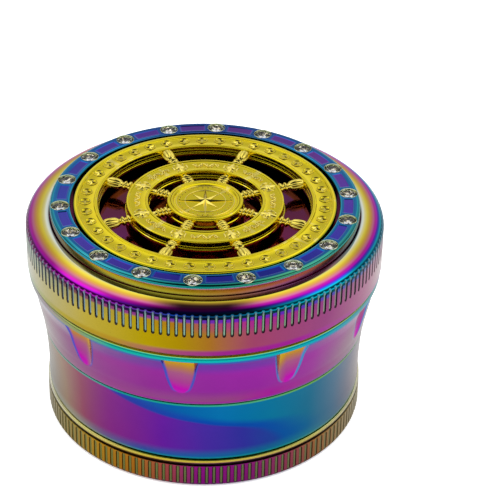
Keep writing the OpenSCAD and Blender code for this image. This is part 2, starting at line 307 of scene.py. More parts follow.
def lathe(name, pts, tags, nseg, mats, mat_of, disp=None, thetas=None, attrs=None, sharp=35.0):
    """Closed outline turned about Z. disp(theta grid, r grid, z grid, tags) returns moved r and z."""
    th = np.linspace(0, 2 * PI, nseg, endpoint=False) if thetas is None else np.asarray(thetas)
    nt, npf = len(th), len(pts)
    T, R = np.meshgrid(th, pts[:, 0], indexing="ij")
    _, Z = np.meshgrid(th, pts[:, 1], indexing="ij")
    extra = {}
    if disp is not None:
        R, Z, extra = disp(T, R.copy(), Z.copy(), np.array([t if t else "" for t in tags]))
        T = extra.pop("_T", T)
    V = np.stack([R * np.cos(T), R * np.sin(T), Z], -1).reshape(-1, 3)
    i = np.arange(nt)[:, None]
    j = np.arange(npf)[None, :]
    i2, j2 = (i + 1) % nt, (j + 1) % npf
    F = np.stack([i * npf + j, i2 * npf + j, i2 * npf + j2, i * npf + j2], -1).reshape(-1, 4)
    idx = np.tile(np.array([mat_of(t) for t in tags]), nt)
    keep = ~((np.abs(R[i, j]) < 1e-6) & (np.abs(R[i, j2]) < 1e-6)).reshape(-1)
    at = {k: v.reshape(-1) for k, v in extra.items()}
    if attrs:
        for k, v in attrs.items():
            at[k] = np.tile(v, nt)
    return obj_from(name, V, F[keep], mats, idx[keep], at, sharp)


def bm_add(bm, other):
    me = bpy.data.meshes.new("tmp")
    other.to_mesh(me)
    bm.from_mesh(me)
    bpy.data.meshes.remove(me)
    other.free()


def turned(profile, nseg=40):
    """verts, faces of a profile [(x, r)] turned about the X axis, closed at both ends."""
    P = np.array(profile, float)
    th = np.linspace(0, 2 * PI, nseg, endpoint=False)
    V, F = [], []
    for x, r in P:
        for t in th:
            V.append((x, r * math.cos(t), r * math.sin(t)))
    n = len(P)
    for i in range(n - 1):
        for k in range(nseg):
            k2 = (k + 1) % nseg
            F.append((i * nseg + k, i * nseg + k2, (i + 1) * nseg + k2, (i + 1) * nseg + k))
    F.append(tuple(range(nseg))[::-1])
    F.append(tuple((n - 1) * nseg + k for k in range(nseg)))
    return np.array(V), F


def smooth_profile(pts, step=0.08):
    """Catmull-Rom through (x, r) points."""
    P = [np.array(p, float) for p in pts]
    P = [2 * P[0] - P[1]] + P + [2 * P[-1] - P[-2]]
    out = []
    for i in range(1, len(P) - 2):
        k = max(2, int(np.linalg.norm(P[i + 1] - P[i]) / step))
        for j in range(k):
            t = j / k
            out.append(0.5 * ((2 * P[i]) + (-P[i - 1] + P[i + 1]) * t + (2 * P[i - 1] - 5 * P[i] + 4 * P[i + 1] - P[i + 2]) * t * t
                              + (-P[i - 1] + 3 * P[i] - 3 * P[i + 1] + P[i + 2]) * t ** 3))
    out.append(P[-2])
    return [(float(a[0]), max(0.02, float(a[1]))) for a in out]


class Bag:
    """Collects loose shells into one mesh."""

    def __init__(self):
        self.v, self.f, self.m, self.n = [], [], [], 0

    def add(self, V, F, mat=0, M=None):
        V = np.asarray(V, float)
        if M is not None:
            V = V @ np.array(M)[:3, :3].T + np.array(M)[:3, 3]
        self.v.append(V)
        self.f += [tuple(i + self.n for i in f) for f in F]
        self.m += [mat] * len(F)
        self.n += len(V)

    def make(self, name, mats, sharp=35.0, smooth=True):
        return obj_from_loose(name, np.concatenate(self.v), self.f, mats, self.m, sharp, smooth)


def obj_from_loose(name, V, F, mats, idx, sharp=35.0, smooth=True):
    me = bpy.data.meshes.new(name)
    me.from_pydata([tuple(v) for v in (V * MM)], [], F)
    for m in mats:
        me.materials.append(m)
    me.polygons.foreach_set("material_index", np.asarray(idx, dtype=np.int32))
    bm = bmesh.new()
    bm.from_mesh(me)
    bmesh.ops.recalc_face_normals(bm, faces=bm.faces)
    bm.to_mesh(me)
    bm.free()
    me.polygons.foreach_set("use_smooth", [smooth] * len(me.polygons))
    if smooth:
        me.set_sharp_from_angle(angle=math.radians(sharp))
    o = bpy.data.objects.new(name, me)
    scene.collection.objects.link(o)
    return o


def rotz(a):
    return np.array(Matrix.Rotation(a, 4, "Z"))


def place(o, body, slot, *nodes):
    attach(o, body)
    if nodes:
        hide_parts(*nodes)
    return o


# ------------------------------------------------------------------ materials


def coat_mat(name, az_pairs, layers=(), rough=0.14, orange=0.02, after=None):
    """Iridescent coat: hue runs round the object by azimuth, layers = [(socket maker, lo, hi, colour or stops)] over it."""
    mt = Mat(name)
    az, rr, z, vec = mt.cyl()
    drift = mt.math("MULTIPLY", mt.math("SUBTRACT", mt.noise(38.0, 2.0, 0.5), 0.5), 0.05)
    base = mt.ramp(mt.math("FRACT", mt.math("ADD", mt.math("ADD", az, drift), 1.0)), az_stops(az_pairs))
    for fn in layers:
        base = fn(mt, base, az, rr, z)
    return finish_metal(mt, base, rough, orange=orange)


def band(lo0, lo1, hi0, hi1, colour, strength=1.0, by="z"):
    """Soft band between two heights (or radii): fades in from lo0 to lo1 and out from hi0 to hi1."""
    def f(mt, base, az, rr, z):
        v = z if by == "z" else rr
        w = mt.math("MULTIPLY", mt.rng(v, lo0, lo1, 0, 1, True), mt.rng(v, hi0, hi1, 1, 0, True))
        w = mt.math("MULTIPLY", w, strength)
        c = colour(mt, az, rr, z) if callable(colour) else srgb(colour)
        return mt.mix(w, base, c)
    return f


def azr(*pairs):
    def f(mt, az, rr, z):
        return mt.ramp(az, az_stops(pairs))
    return f


M = {}

def attr_mix(name, lo, hi, colour, strength=1.0):
    """Another colour where a vertex attribute of the mesh is high."""
    def f(mt, base, az, rr, z):
        a = mt.node("ShaderNodeAttribute", attribute_name=name).outputs["Fac"]
        c = colour(mt, az, rr, z) if callable(colour) else srgb(colour)
        return mt.mix(mt.math("MULTIPLY", mt.rng(a, lo, hi, 0, 1, True), strength), base, c)
    return f


M["lid_side"] = coat_mat("lid_side_coat", [
    (-170, "#a8ac9c"), (-150, "#b4ac74"), (-130, "#bca83c"), (-110, "#b49c06"), (-98, "#ac8c08"), (-88, "#a87024"), (-74, "#a04468"),
    (-50, "#984680"), (-30, "#aa6c8c"), (-10, "#b09a96"), (20, "#9a5fa4"), (50, "#6a48b0"), (80, "#2f66b4"), (110, "#209c9e"),
    (140, "#74a868"), (165, "#a8ae60")], [
    band(29.0, 30.0, 30.8, 31.5, azr((-170, "#84a88c"), (-140, "#b0a010"), (-118, "#b48a28"), (-100, "#a4407a"), (-85, "#9a1a90"), (-60, "#a01c98"), (-25, "#a86a90"), (60, "#8040b0"), (120, "#309090")), 0.9),
    band(34.2, 36.2, 39.0, 39.5, azr((-170, "#98b09c"), (-135, "#908c5c"), (-112, "#b49a10"), (-97, "#a86420"), (-88, "#a84070"), (-75, "#a81a94"), (-50, "#8c3c80"), (-25, "#a4708c"), (60, "#4448a8"), (120, "#508a80")), 0.75),
    band(36.5, 37.0, 39.0, 39.5, azr((-170, "#a0a890"), (-135, "#6a3040"), (-112, "#8a1a8a"), (-95, "#5a30b0"), (-80, "#6a20b8"), (-60, "#4a30b8"), (-35, "#3a60a8"), (-10, "#8a9aa0"), (60, "#3048a8"), (120, "#2090a0")), 0.9),
    # painted shade darkens the groove edges and a painted highlight pales the groove floors
    attr_mix("groove", 0.02, 0.1, azr((-170, "#405060"), (-130, "#141c40"), (-90, "#181c30"), (-50, "#1c2c24"), (-20, "#504850"), (60, "#101c40"), (120, "#183028")), 0.9),
    attr_mix("groove", 0.68, 0.95, azr((-170, "#9ab8b0"), (-130, "#7898a8"), (-100, "#8cb0a4"), (-70, "#80a884"), (-30, "#a09a90"), (60, "#4a78a8"), (120, "#60a088")), 0.95)],
    rough=0.15)


def shoulder_layer(mt, base, az, rr, z):
    t = mt.rng(rr, 27.3, 31.5)
    # the colour order runs ahead on the +X side
    c = mt.math("COSINE", mt.math("MULTIPLY", az, 2 * PI))
    g = mt.math("ADD", mt.math("MULTIPLY", mt.math("ADD", mt.math("MULTIPLY", c, 0.5), 0.5), 0.2), 0.75)
    wob = mt.math("MULTIPLY", mt.math("SUBTRACT", mt.noise(30.0, 2.0, 0.5), 0.5), 0.05)
    t = mt.math("MULTIPLY", mt.math("ADD", t, wob), g)
    # the pale grey at the start of the ramp, next to the ring, is a painted highlight
    out = mt.ramp(t, [(0.0, srgb("#a8b4b4")), (0.1, srgb("#cfd6cc")), (0.17, srgb("#cfc888")), (0.27, srgb("#dfcc40")), (0.37, srgb("#d0a838")), (0.45, srgb("#cc8860")),
                      (0.52, srgb("#c86c98")), (0.58, srgb("#bc289c")), (0.64, srgb("#c010c0")), (0.69, srgb("#5a1cb8")), (0.74, srgb("#1460c8")), (0.8, srgb("#10c8d8")),
                      (0.85, srgb("#0a80b0")), (0.91, srgb("#0c48a0")), (1.0, srgb("#3a1ca0"))])
    rim = azr((-172, "#8a5070"), (-150, "#8a2080"), (-130, "#b810b8"), (-112, "#6a10a0"), (-100, "#1830a0"), (-90, "#0a2860"), (-78, "#086088"), (-66, "#08a0b0"), (-48, "#10b8cc"), (-30, "#1088a8"), (-10, "#0c6880"),
              (40, "#1878a0"), (90, "#3050a8"), (140, "#307890"))(mt, az, rr, z)
    out = mt.mix(mt.rng(rr, 30.7, 31.1, 0, 0.95), out, rim)
    # painted dark reflection on the shoulder's outer rounding, just above the knurl
    dark = azr((-172, "#605058"), (-130, "#301430"), (-100, "#080c28"), (-90, "#060a1c"), (-70, "#082830"), (-40, "#0c3840"), (-10, "#506068"), (90, "#182850"))(mt, az, rr, z)
    out = mt.mix(mt.rng(rr, 31.3, 31.42, 0, 0.9), out, dark)
    a = mt.node("ShaderNodeAttribute", attribute_name="groove").outputs["Fac"]
    return mt.mix(mt.rng(a, 0.12, 0.5, 0, 0.9), out, srgb("#6c8890"))


M["lid_shoulder"] = coat_mat("lid_shoulder_coat", [(0, "#c0a020"), (180, "#c0a020")], [shoulder_layer], rough=0.035, orange=0.001)

M["recess"] = coat_mat("recess_coat", [(-170, "#6c1c50"), (-120, "#701c74"), (-90, "#8a1474"), (-50, "#801c58"), (0, "#681844"), (60, "#4a2470"), (120, "#5c1c44"), (160, "#6a2438")],
                       rough=0.1)

M["lid_inside"] = coat_mat("lid_inside_coat", [(-150, "#2a2aa8"), (-60, "#1c1c9c"), (30, "#2a22a4"), (120, "#3a2090")], [
    band(20, 27.6, 99, 100, azr((-150, "#a87018"), (-60, "#a8761c"), (0, "#9a5a28"), (60, "#b08424"), (140, "#7a3a78")), 1.0, by="r")], rough=0.15)

M["ring_top"] = coat_mat("ring_coat", [(-180, "#0c6cac"), (-120, "#0c58a4"), (-90, "#084c98"), (-40, "#0c62a4"), (0, "#0c6ca4"), (60, "#1c54a0"), (90, "#20489c"), (140, "#0c5ca8")], [
    attr_mix("field", 0.5, 0.95, azr((-180, "#3442b0"), (-150, "#4c3eb4"), (-120, "#4434b0"), (-95, "#1c209c"), (-60, "#1c289e"), (-30, "#3c38b4"), (0, "#5636ac"), (40, "#6c349c"), (80, "#66349c"), (120, "#5834a8"), (160, "#3e3ca8")), 1.0),
    attr_mix("field_line", 0.5, 0.95, azr((-180, "#1888c4"), (-90, "#1878b4"), (0, "#1c84b8"), (90, "#2c68b0")), 0.8),
    band(26.4, 26.7, 40, 41, azr((-180, "#088ca4"), (-130, "#38a4b0"), (-90, "#109484"), (-60, "#48a078"), (0, "#0894a4"), (60, "#3870a0"), (120, "#1c6aa0")), 0.95, by="r"),
    band(10, 11, 23.85, 24.05, azr((-180, "#18a4cc"), (-90, "#20bcd8"), (0, "#18a0c4"), (90, "#4068b4")), 0.85, by="r")], rough=0.11)

M["ring_wall"] = coat_mat("ring_wall_coat", [(-180, "#50a0a8"), (-160, "#b8a898"), (-140, "#c8b858"), (-110, "#c4b840"), (-95, "#c0a838"), (-80, "#c08050"), (-60, "#b05c98"), (-40, "#b06a88"), (-20, "#70b0a8"), (0, "#58a8a0"), (30, "#3a8ab8"), (70, "#8a5cc8"), (120, "#4c94a0"), (160, "#a0b090")], [
    band(40.45, 40.65, 40.95, 41.15, azr((-180, "#8060c8"), (-110, "#b05ab8"), (-80, "#b060c8"), (-40, "#7aa0d0"), (60, "#6050c0"), (130, "#7070c0")), 0.9)], rough=0.16)

CH_AZ = [(-172, "#8c8c84"), (-152, "#a07c90"), (-140, "#9a5490"), (-124, "#a0409c"), (-108, "#9c2ea0"), (-90, "#9a2ca2"), (-70, "#a026a8"), (-50, "#a832a6"), (-34, "#a06c92"), (-14, "#948078"),
         (30, "#9058a0"), (75, "#5a48b0"), (110, "#4058b0"), (150, "#8a78a8")]
CHAMBER_LAYERS = [
    band(0, 17, 18.8, 21.6, azr((-170, "#a89890"), (-125, "#a04a94"), (-100, "#98508c"), (-82, "#984c7c"), (-68, "#b01a9c"), (-48, "#a83a98"), (-30, "#a07c94"), (0, "#a090a0"), (90, "#7040b0")), 0.85),
    band(0, 17, 18.3, 19.0, azr((-170, "#a0a090"), (-110, "#b01aa8"), (-70, "#a018b0"), (-40, "#8060a8"), (0, "#909090"), (90, "#5060b0")), 0.8),
    band(0, 17, 18.22, 18.4, azr((-170, "#90a898"), (-100, "#209c94"), (-60, "#58a878"), (0, "#809088"), (90, "#3080b0")), 0.9),
    band(25.0, 27.2, 35, 36, azr((-172, "#a4aca4"), (-150, "#b098ac"), (-122, "#8a50a8"), (-100, "#7c34b0"), (-70, "#8034b4"), (-45, "#a848a4"), (-25, "#ac88a4"), (60, "#5048b4")), 0.95),
    band(27.85, 28.35, 35, 36, azr((-172, "#90a4a4"), (-140, "#5078b8"), (-90, "#2060c4"), (-50, "#4070c0"), (-20, "#9098a4"), (90, "#3060b0")), 0.9),
    band(28.4, 28.8, 35, 36, azr((-170, "#9aa8a0"), (-150, "#a89ca0"), (-134, "#90a060"), (-120, "#18b0a0"), (-90, "#0cbcb2"), (-50, "#10a4b8"), (-20, "#70a0a4"), (90, "#2090a8")), 1.0),
    band(29.25, 29.4, 35, 36, azr((-170, "#b0b48a"), (-120, "#b4c838"), (-90, "#a8d020"), (-40, "#a8c048"), (90, "#70a060")), 1.0),
    # painted shadow: a thin dark line at the top of the shoulder, under the lid's edge
    band(29.55, 29.65, 35, 36, azr((-170, "#5a4048"), (-90, "#4c0c28"), (-20, "#5a4048"), (90, "#401c40")), 1.0)]


def flute_layer(mt, base, az, rr, z):
    f = mt.node("ShaderNodeAttribute", attribute_name="flute").outputs["Fac"]
    side = mt.node("ShaderNodeAttribute", attribute_name="flute_side").outputs["Fac"]
    gold = mt.node("ShaderNodeAttribute", attribute_name="flute_gold").outputs["Fac"]
    edge = mt.node("ShaderNodeAttribute", attribute_name="flute_edge").outputs["Fac"]
    s2 = mt.math("MULTIPLY", side, side)
    zz = mt.math("ADD", mt.math("ADD", z, mt.math("MULTIPLY", s2, -1.0)), mt.math("MULTIPLY", gold, 5.5))
    inner = mt.ramp(mt.rng(zz, 20.4, 28.6), [(0.0, srgb("#b828b0")), (0.14, srgb("#c010b0")), (0.32, srgb("#aa4294")), (0.52, srgb("#a85a88")), (0.68, srgb("#b87c4a")), (0.8, srgb("#cc9c14")), (0.94, srgb("#d0ac1c")), (1.0, srgb("#c8a428"))])
    inner = mt.mix(mt.rng(edge, 0.0, 0.4, 0.7, 0.0, True), inner, srgb("#b80cb0"))
    ins = mt.rng(f, 0.0, 0.02, 0, 1)
    base = mt.mix(ins, base, inner)
    # a blue line follows the edge on the outside, thin and fading
    line = mt.math("MULTIPLY", mt.rng(edge, 0.04, 0.34, 0.9, 0.0, True), mt.rng(z, 20.6, 22.5, 0.35, 1.0))
    return mt.mix(line, base, azr((-170, "#6080b8"), (-135, "#2c50c8"), (-90, "#1c5cc8"), (-50, "#18a0d0"), (90, "#2060c0"))(mt, az, rr, z))


M["chamber"] = coat_mat("chamber_coat", CH_AZ, CHAMBER_LAYERS + [flute_layer], rough=0.15)
M["neck"] = coat_mat("neck_coat", [(-150, "#28b0a0"), (-110, "#50c070"), (-70, "#a0c040"), (-20, "#30a8b0"), (60, "#3060c0"), (120, "#208ab0")], rough=0.12)
M["chamber_inside"] = coat_mat("chamber_inside_coat", [(-150, "#4a28a8"), (-90, "#3426a8"), (-30, "#6a2a9c"), (40, "#302cae"), (110, "#a06a28"), (160, "#7a2a90")], rough=0.14)


def sieve_layer(mt, base, az, rr, z):
    """Two colour fields that meet on a slanting line: teal and blue above right, violet below left."""
    deg = mt.math("MULTIPLY", mt.math("SUBTRACT", mt.math("FRACT", mt.math("ADD", az, 0.5)), 0.5), 360.0)
    line = mt.node("ShaderNodeFloatCurve")
    cv = line.mapping.curves[0]
    # height 5..18 mm -> azimuth of the line
    for k, (zz, a) in enumerate([(0.0, 0.88), (0.23, 0.88), (0.385, 0.84), (0.54, 0.76), (0.65, 0.62), (0.73, 0.5), (0.81, 0.4), (0.92, 0.28), (1.0, 0.2)]):
        if k < len(cv.points):
            cv.points[k].location = (zz, a)
        else:
            cv.points.new(zz, a)
    line.mapping.update()
    mt.put(line.inputs["Value"], mt.rng(z, 5.0, 18.0))
    wob = mt.math("MULTIPLY", mt.math("SUBTRACT", mt.noise(70.0, 2.0, 0.5), 0.5), 5.0)
    at = mt.math("ADD", mt.math("ADD", mt.math("MULTIPLY", line.outputs[0], 100.0), -150.0), wob)
    d = mt.math("SUBTRACT", deg, at)
    upper = azr((-172, "#b0a89c"), (-150, "#a88878"), (-132, "#7c3c98"), (-118, "#1c58b0"), (-100, "#0464b0"), (-85, "#0476b4"), (-65, "#027ca4"), (-50, "#08769a"), (-36, "#487898"), (-24, "#74748a"), (-10, "#a08c88"),
                (20, "#9a74a8"), (60, "#a44898"), (100, "#a05a60"), (140, "#a88a50"))(mt, az, rr, z)
    near = azr((-150, "#7848a0"), (-120, "#2c40b0"), (-90, "#0c4cb4"), (-70, "#0850b0"), (-50, "#0464a4"), (-30, "#507090"), (60, "#a44898"))(mt, az, rr, z)
    w = mt.rng(d, -3.0, 3.0, 0, 1, True)
    w2 = mt.rng(d, 3.0, 22.0, 0, 1, True)
    # only on the front: the line fades out towards the back
    front = mt.math("MULTIPLY", mt.rng(deg, -172.0, -150.0, 0, 1, True), mt.rng(deg, 10.0, 40.0, 1, 0, True))
    base = mt.mix(mt.math("MULTIPLY", w, front), base, near)
    return mt.mix(mt.math("MULTIPLY", w2, front), base, upper)


M["sieve"] = coat_mat("sieve_coat", [
    (-172, "#8e8c80"), (-152, "#a8886c"), (-138, "#a04c6c"), (-124, "#8e2c90"), (-106, "#6c20a8"), (-90, "#4c2ea8"), (-74, "#3434a4"), (-58, "#1a4ca4"), (-44, "#18649c"), (-30, "#707098"), (-14, "#b09c9a"),
    (20, "#9a74a8"), (60, "#a44898"), (100, "#a05a60"), (140, "#a88a50")], [sieve_layer,
    band(0, 1, 6.3, 8.2, azr((-172, "#98a09c"), (-145, "#a8a890"), (-128, "#70689c"), (-112, "#1c5cb0"), (-95, "#0868b0"), (-70, "#0c74a0"), (-50, "#20849c"), (-30, "#4c7494"), (-10, "#8c8c7c"), (60, "#6048b0"), (120, "#807868")), 0.85),
    band(0, 1, 5.9, 6.5, azr((-172, "#98a09c"), (-145, "#a8a890"), (-110, "#10a0b0"), (-60, "#10a49c"), (-20, "#70a090"), (60, "#3080b0")), 0.8),
    band(17.45, 17.65, 99, 100, azr((-172, "#a0b4a8"), (-120, "#18a094"), (-90, "#30b088"), (-50, "#70b04c"), (-20, "#90a888"), (90, "#4080b0")), 0.9)], rough=0.16)
M["sieve_inside"] = coat_mat("sieve_inside_coat", [(-150, "#a07a20"), (-90, "#94701a"), (-30, "#9a3a78"), (40, "#8a6a18"), (90, "#8a7a1c"), (130, "#a04070")], rough=0.18)

def across(*stops):
    """Colours that run straight across a flat face, from -X to +X."""
    def f(mt, az, rr, z):
        x = mt.math("MULTIPLY", rr, mt.math("COSINE", mt.math("MULTIPLY", az, 2 * PI)))
        w = mt.math("MULTIPLY", mt.math("SUBTRACT", mt.noise(40.0, 2.0, 0.5), 0.5), 9.0)
        return mt.ramp(mt.rng(mt.math("ADD", x, w), -30.0, 30.0), [(p, srgb(c)) for p, c in stops])
    return f


M["cup"] = coat_mat("cup_coat", [
    (-172, "#b8b090"), (-150, "#b09a48"), (-132, "#c8981c"), (-116, "#c07a20"), (-104, "#b04a50"), (-92, "#98188c"), (-74, "#942080"), (-58, "#a0445c"), (-46, "#ac703c"), (-32, "#b09058"), (-12, "#b8ac80"),
    (40, "#a89844"), (90, "#8a5468"), (140, "#9a7a48")], [
    # painted shade: the edges of the grooves turn dark
    attr_mix("groove", 0.04, 0.2, azr((-172, "#55543c"), (-130, "#2c2614"), (-90, "#20121e"), (-50, "#2c1c20"), (-12, "#55503c"), (90, "#2c2424")), 0.75),
    attr_mix("groove", 0.5, 0.85, azr((-172, "#a4a888"), (-130, "#8c9450"), (-90, "#748450"), (-50, "#80885c"), (-12, "#a8a884"), (90, "#8a8a60")), 0.95),
    band(0, 0.01, 0.35, 0.75, azr((-170, "#909070"), (-90, "#5a3a70"), (-30, "#888060")), 0.6),
    band(-2, -1, 0.1, 0.3, across((0.0, "#a8902c"), (0.25, "#b06848"), (0.45, "#a03c94"), (0.65, "#5a38ac"), (0.85, "#2468b0"), (1.0, "#2498a0")), 1.0),
    # painted shade: a dark line along the step under the lip
    band(4.3, 4.45, 5.0, 5.12, "#20210e", 0.92),
    # painted highlight: a pale line along the rounded lip
    band(5.05, 5.18, 99, 100, azr((-170, "#f0f0dc"), (-140, "#e0d888"), (-110, "#d8c848"), (-90, "#d8c440"), (-50, "#cfc468"), (-10, "#e4e0c4"), (90, "#c8b868")), 0.95)], rough=0.17)
M["cup_inside"] = coat_mat("cup_inside_coat", [(-150, "#2030a8"), (-60, "#1a28a0"), (30, "#2440b0"), (120, "#201e90")], [
    band(0, 1, 23.5, 24.6, azr((-150, "#4a8ac8"), (0, "#5a9ac0"), (150, "#3a7ac0")), 1.0, by="r")], rough=0.16)


def gold_mat(name, base="#eedc22", low="#6a5a08", rough=0.13):
    mt = Mat(name)
    g = mt.node("ShaderNodeNewGeometry")
    az, rr, z, vec = mt.cyl()
    cloud = mt.noise(420.0, 4.0, 0.6)
    b = mt.mix(mt.rng(cloud, 0.3, 0.7, 0.0, 0.35), srgb(base), srgb("#e4bc10"))
    # painted shade: crevices (low pointiness) turn darker and browner; painted highlight: sharp edges turn paler
    b = mt.mix(mt.rng(g.outputs["Pointiness"], 0.46, 0.40, 0.0, 0.8), b, srgb(low))
    b = mt.mix(mt.rng(g.outputs["Pointiness"], 0.53, 0.60, 0.0, 0.5), b, srgb("#fbe98a"))
    mt.set(base=b, metal=1.0)
    mt.put(mt.bsdf.inputs["Roughness"], mt.rng(cloud, 0.3, 0.7, rough * 0.8, rough * 1.3))
    mt.bump(mt.math("ADD", mt.math("MULTIPLY", cloud, 0.6), mt.math("MULTIPLY", mt.noise(3000.0, 2.0), 0.4)), 0.3, 0.02 * MM)
    return mt.m


M["gold"] = gold_mat("gold_plate")
# the relief, spokes and compass star get a paler copy of the gold plate: a painted highlight
M["relief_gold_painted_highlight"] = gold_mat("relief_gold_painted_highlight", "#fdea6a", "#5a4c08", 0.12)


def steel_mat(name, base="#c8cacc", rough=0.25, scale=900.0):
    mt = Mat(name)
    az, rr, z, vec = mt.cyl()
    n = mt.noise(scale, 4.0, 0.6)
    mt.set(base=mt.mix(mt.rng(n, 0.3, 0.7), srgb(base), mt.mix(1.0, srgb(base), (0.82, 0.82, 0.84), "MULTIPLY")), metal=1.0)
    mt.put(mt.bsdf.inputs["Roughness"], mt.rng(n, 0.3, 0.7, rough * 0.7, rough * 1.4))
    mt.bump(n, 0.3, 0.015 * MM)
    return mt.m


M["steel"] = steel_mat("ground_steel")
M["magnet"] = steel_mat("nickel_plate", "#d2cfc6", 0.16, 500.0)
M["brass"] = steel_mat("cage_brass", "#c9a24a", 0.28)
M["wire"] = steel_mat("screen_wire", "#b4b5b6", 0.32, 1500.0)

nyl = Mat("nylon")
nn = nyl.noise(700.0, 4.0, 0.6)
nyl.set(base=nyl.mix(nyl.rng(nn, 0.3, 0.7), srgb("#e9e6da"), srgb("#d9d5c6")), spec=0.5)
nyl.put(nyl.bsdf.inputs["Roughness"], nyl.rng(nn, 0.3, 0.7, 0.35, 0.55))
nyl.bump(nn, 0.3, 0.02 * MM)
M["nylon"] = nyl.m

cry = Mat("crystal_crown")
cn = cry.noise(500.0, 2.0)
cry.set(base=cry.mix(cry.rng(cn, 0.3, 0.7), srgb("#fdfdff"), srgb("#f3f6ff")), trans=1.0, ior=1.58)
cry.put(cry.bsdf.inputs["Roughness"], cry.rng(cn, 0.3, 0.7, 0.0, 0.02))
M["crystal"] = cry.m
foil = Mat("crystal_foil")
fn_ = foil.noise(1150.0, 1.0)
# patches of near-white and near-black in the foil's colour paint the stones' black and white sparkle: painted
# reflections
foil.set(base=foil.ramp(fn_, [(0.3, srgb("#fff0b0")), (0.4, srgb("#fffbf0")), (0.46, srgb("#c8ac50")), (0.49, srgb("#141008")), (0.7, srgb("#0c0a08"))]), metal=1.0)
foil.put(foil.bsdf.inputs["Roughness"], foil.rng(fn_, 0.3, 0.7, 0.04, 0.12))
M["foil"] = foil.m
M["bezel"] = gold_mat("bezel_metal", "#a8d0cc", "#2a4a55", 0.14)

# ------------------------------------------------------------------ lid
Z_LID0 = TOP - 11.15
EDGE, FOOT, FLOOR, CEIL = TOP - 3.8, TOP - 2.0, TOP - 3.2, TOP - 5.0
NG = 150
PITCH = 2 * PI / NG


def groove_thetas(n, half_mm, r):
    """Column angles: several across each groove, one on each land."""
    u = np.array([-1.0, -0.93, -0.72, -0.4, 0.0, 0.4, 0.72, 0.93, 1.0]) * half_mm / r
    step = 2 * PI / n
    cols = []
    for k in range(n):
        c = k * step
        cols += list(c + u)
        cols.append(c + step / 2)
    return np.sort(np.array(cols) % (2 * PI))


def groove_floor(du, z, z0, z1, half, rad, depth):
    """Radius of the floor of an upright round-ended groove of the given half width and depth."""
    dz = np.maximum(0, np.maximum(z0 - z, z - z1))
    d2 = (du ** 2 + dz ** 2) / half ** 2
    return np.where(d2 < 1, rad - depth * np.sqrt(np.clip(1 - d2, 0, 1)), 1e9)


def ell(cx, cy, rx, ry, a0, a1, n):
    return [(cx + rx * math.cos(math.radians(a0 + (a1 - a0) * i / n)), cy + ry * math.sin(math.radians(a0 + (a1 - a0) * i / n))) for i in range(n + 1)]


def build_lid():
    shoulder = ell(27.3, EDGE, LID_R - 27.3, FOOT - EDGE, 0, 90, 22)
    pts = [(29.2, Z_LID0, 0.25, "in"), (LID_R, Z_LID0, 0.28, "side")]
    pts += [(LID_R, EDGE - 0.01, 0, "sh")]
    pts += [(x, y, 0, "sh") for x, y in shoulder[1:-1]]
    pts += [(27.3, FOOT, 0.12, "rec"), (27.3, FLOOR, 0, "rec"), (0, FLOOR, 0, "in"), (0, CEIL, 0, "in"), (29.2, CEIL, 0.8, "in")]
    P, T = rounded(pts, 5)
    P, T = split_long(P, T, {"side": 0.16, "sh": 0.3, "rec": 3.0, "in": 2.5})
    hw, dep = 0.31, 0.34

    def disp(Th, R, Z, tags):
        k = np.round(Th / PITCH)
        du = (Th - k * PITCH) * LID_R
        fl = groove_floor(du, Z, EDGE - 3.2, 99, hw, LID_R, dep)
        outer = (np.isin(tags, ["side", "sh"]))[None, :] & (R > 30.2)
        Rn = np.where(outer, np.minimum(R, fl), R)
        return Rn, Z, {"groove": (R - Rn) / dep}

    mats = [M["lid_side"], M["lid_shoulder"], M["recess"], M["lid_inside"]]
    tagmat = {"side": 0, "sh": 1, "rec": 2, "in": 3}
    return lathe("lid_body", P, T, 0, mats, lambda t: tagmat[t], disp, groove_thetas(NG, hw, LID_R), sharp=40)


lid = place(build_lid(), "lid", "iridescent_lid", "lid_shell")

# centre boss inside the lid, its own turned shell with the magnet's pocket
P, T = rounded([(0, CEIL + 0.3, 0, "a"), (5.0, CEIL + 0.3, 0, "a"), (5.0, 25.6, 0.25, "a"), (4.1, 25.6, 0.1, "a"), (4.1, 27.8, 0, "a"), (0, 27.8, 0, "a")], 4)
boss = lathe("lid_boss", P, T, 128, [M["lid_inside"]], lambda t: 0)
place(boss, "lid", "iridescent_lid", "lid_shell")

# ------------------------------------------------------------------ stone ring
RO, RI = 27.2, 23.65
STONES = 18
PH = math.radians(5.6)


